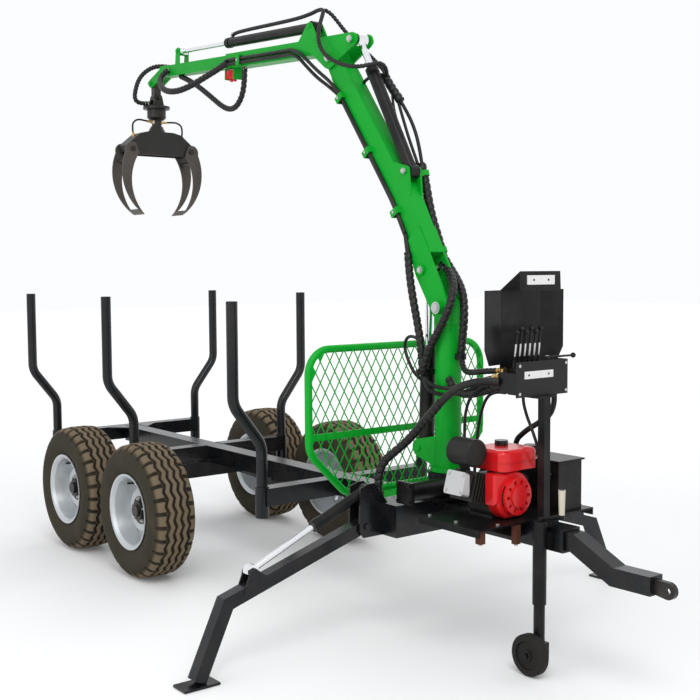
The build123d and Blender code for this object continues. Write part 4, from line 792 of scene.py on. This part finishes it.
for angle in engineSpec["slats"]:
    out = Vector((0, math.cos(math.radians(angle)), math.sin(math.radians(angle))))
    middle = at(engineSpec["drumX"], *(crank.yz + out.yz * engineSpec["drumRadius"]))
    size = Matrix.Diagonal((*engineSpec["slat"], 1.0))
    bmesh.ops.create_cube(bm, size=1.0, matrix=facing(middle, out) @ size)
finishPiece("starterSlats", bm, plastic, "chassis")

# Bars under the deck's edge with their bolts, and bolts through the deck
deckSpec = {"bars": (((2722, -345, 574), (2752, -315, 632)), ((2737, -142, 545), (2763, -112, 632))),
            "bolts": ((2420, -330), (2588, -330), (2740, -230), (2420, 330)), "boltTop": 643, "radius": 9,
            "height": 7, "barBoltHeight": 9, "barBoltDrop": 4}
bm = bmesh.new()
for low, high in deckSpec["bars"]:
    addBox(bm, low, high)
finishPiece("deckBars", bm, rust, "chassis")
bm = bmesh.new()
for low, high in deckSpec["bars"]:
    foot = at((low[0] + high[0]) / 2, (low[1] + high[1]) / 2, low[2] - deckSpec["barBoltDrop"])
    addDisc(bm, foot, (0, 0, -1), deckSpec["radius"], deckSpec["barBoltHeight"])
for x, y in deckSpec["bolts"]:
    addDisc(bm, at(x, y, deckSpec["boltTop"]), (0, 0, 1), deckSpec["radius"], deckSpec["height"])
finishPiece("deckBolts", bm, steel, "chassis")

# Bright washers and nuts on the crane's pins
pins = {
    # place of the pin's right end in x, y and z
    "pinBoomFoot": {"body": "boom", "end": (2185, -81, 1551), "radius": 22},
    "pinLiftHead": {"body": "boom", "end": (2060, -67, 1728), "radius": 13},
    "pinJibRamFoot": {"body": "boom", "end": (1924, -53, 2208), "radius": 11},
    "pinJibRamHead": {"body": "jib", "end": (1529, -72, 2900), "radius": 14},
    "pinJibPivot": {"body": "boom", "end": (1333, -67, 2834), "radius": 15},
}
pinSpec = {"washerWide": 1.3, "washerAt": 1, "washerThick": 3, "washerSides": 28, "nutAt": 6, "nutThick": 9}
for name, spec in pins.items():
    x, y, z = spec["end"]
    bm = bmesh.new()
    addDisc(bm, at(x, y - pinSpec["washerAt"], z), (0, -1, 0), spec["radius"] * pinSpec["washerWide"],
            pinSpec["washerThick"], pinSpec["washerSides"])
    addDisc(bm, at(x, y - pinSpec["nutAt"], z), (0, -1, 0), spec["radius"], pinSpec["nutThick"])
    finishPiece(name, bm, steel, spec["body"])

# Bright shaft between the rotator and the grapple
shaftSpec = {"x": -655, "drop": 14, "radius": 32.8, "length": 22, "sides": 32}
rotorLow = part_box("rotator")[0]
bm = bmesh.new()
addDisc(bm, at(shaftSpec["x"], 0, rotorLow[2] * 1000 - shaftSpec["drop"]), (0, 0, 1), shaftSpec["radius"],
        shaftSpec["length"], shaftSpec["sides"])
finishPiece("rotorShaft", bm, steel, "grapple")
print("small pieces done")

# Stage: pale floor and soft light. The camera and reflections see a whiter floor and sky than the light that
# falls on the object; near and far are a distance from the middle and the floor's glow there
stageSpec = {"floor": (0.86, 0.86, 0.86, 1), "floorRough": 0.9, "floorSpecular": 0.1, "half": 40,
             "drop": 0.002, "near": (3.0, 0.06), "far": (13.0, 0.36), "sky": (0.97, 0.98, 1.0, 1),
             "skyLight": 0.80, "skySeen": 1.0}
lamps = {
    "key": {"place": (5.5, -3.0, 7.0), "target": (0.4, 0, 1.0), "size": 4.0, "power": 260},
    "fill": {"place": (1.0, -8.0, 4.0), "target": (0.2, 0, 1.0), "size": 5.0, "power": 120},
    "back": {"place": (-5.0, 5.0, 6.0), "target": (0.0, 0, 1.0), "size": 4.0, "power": 120},
}


def whenSeen(tree):
    rays = tree.nodes.new("ShaderNodeLightPath")
    found = rays.outputs["Is Camera Ray"]
    for kind in ("Is Glossy Ray", "Is Transmission Ray"):
        either = addNode(tree, "ShaderNodeMath", operation="MAXIMUM")
        tree.links.new(found, either.inputs[0])
        tree.links.new(rays.outputs[kind], either.inputs[1])
        found = either.outputs[0]
    return found


floorMat, floorTree, floorShader = newMaterial("paleFloor")
floorShader.inputs["Base Color"].default_value = stageSpec["floor"]
floorShader.inputs["Roughness"].default_value = stageSpec["floorRough"]
floorShader.inputs["Specular IOR Level"].default_value = stageSpec["floorSpecular"]
floorShader.inputs["Emission Color"].default_value = (1, 1, 1, 1)
spot = floorTree.nodes.new("ShaderNodeTexCoord")
reach = addNode(floorTree, "ShaderNodeVectorMath", operation="LENGTH")
glow = floorTree.nodes.new("ShaderNodeMapRange")
glow.inputs["From Min"].default_value, glow.inputs["To Min"].default_value = stageSpec["near"]
glow.inputs["From Max"].default_value, glow.inputs["To Max"].default_value = stageSpec["far"]
shown = addNode(floorTree, "ShaderNodeMath", operation="MULTIPLY")
floorTree.links.new(spot.outputs["Object"], reach.inputs[0])
floorTree.links.new(reach.outputs["Value"], glow.inputs["Value"])
floorTree.links.new(glow.outputs["Result"], shown.inputs[0])
floorTree.links.new(whenSeen(floorTree), shown.inputs[1])
floorTree.links.new(shown.outputs[0], floorShader.inputs["Emission Strength"])
bm = bmesh.new()
bmesh.ops.create_grid(bm, x_segments=1, y_segments=1, size=stageSpec["half"],
                      matrix=Matrix.Translation((0, 0, -stageSpec["drop"])))
floor = finishPiece("floor", bm, floorMat)

world = bpy.data.worlds.new("studio")
scene.world = world
world.use_nodes = True
skyTree = world.node_tree
sky = skyTree.nodes["Background"]
sky.inputs["Color"].default_value = stageSpec["sky"]
strength = addNode(skyTree, "ShaderNodeMath", operation="MULTIPLY_ADD")
strength.inputs[1].default_value = stageSpec["skySeen"] - stageSpec["skyLight"]
strength.inputs[2].default_value = stageSpec["skyLight"]
skyTree.links.new(whenSeen(skyTree), strength.inputs[0])
skyTree.links.new(strength.outputs[0], sky.inputs["Strength"])
for name, spec in lamps.items():
    data = bpy.data.lights.new(name, "AREA")
    data.size, data.energy = spec["size"], spec["power"]
    lamp = bpy.data.objects.new(name, data)
    scene.collection.objects.link(lamp)
    lamp.location = spec["place"]
    lamp.rotation_mode = "QUATERNION"
    lamp.rotation_quaternion = (Vector(spec["target"]) - Vector(spec["place"])).to_track_quat("-Z", "Y")
print("stage done")
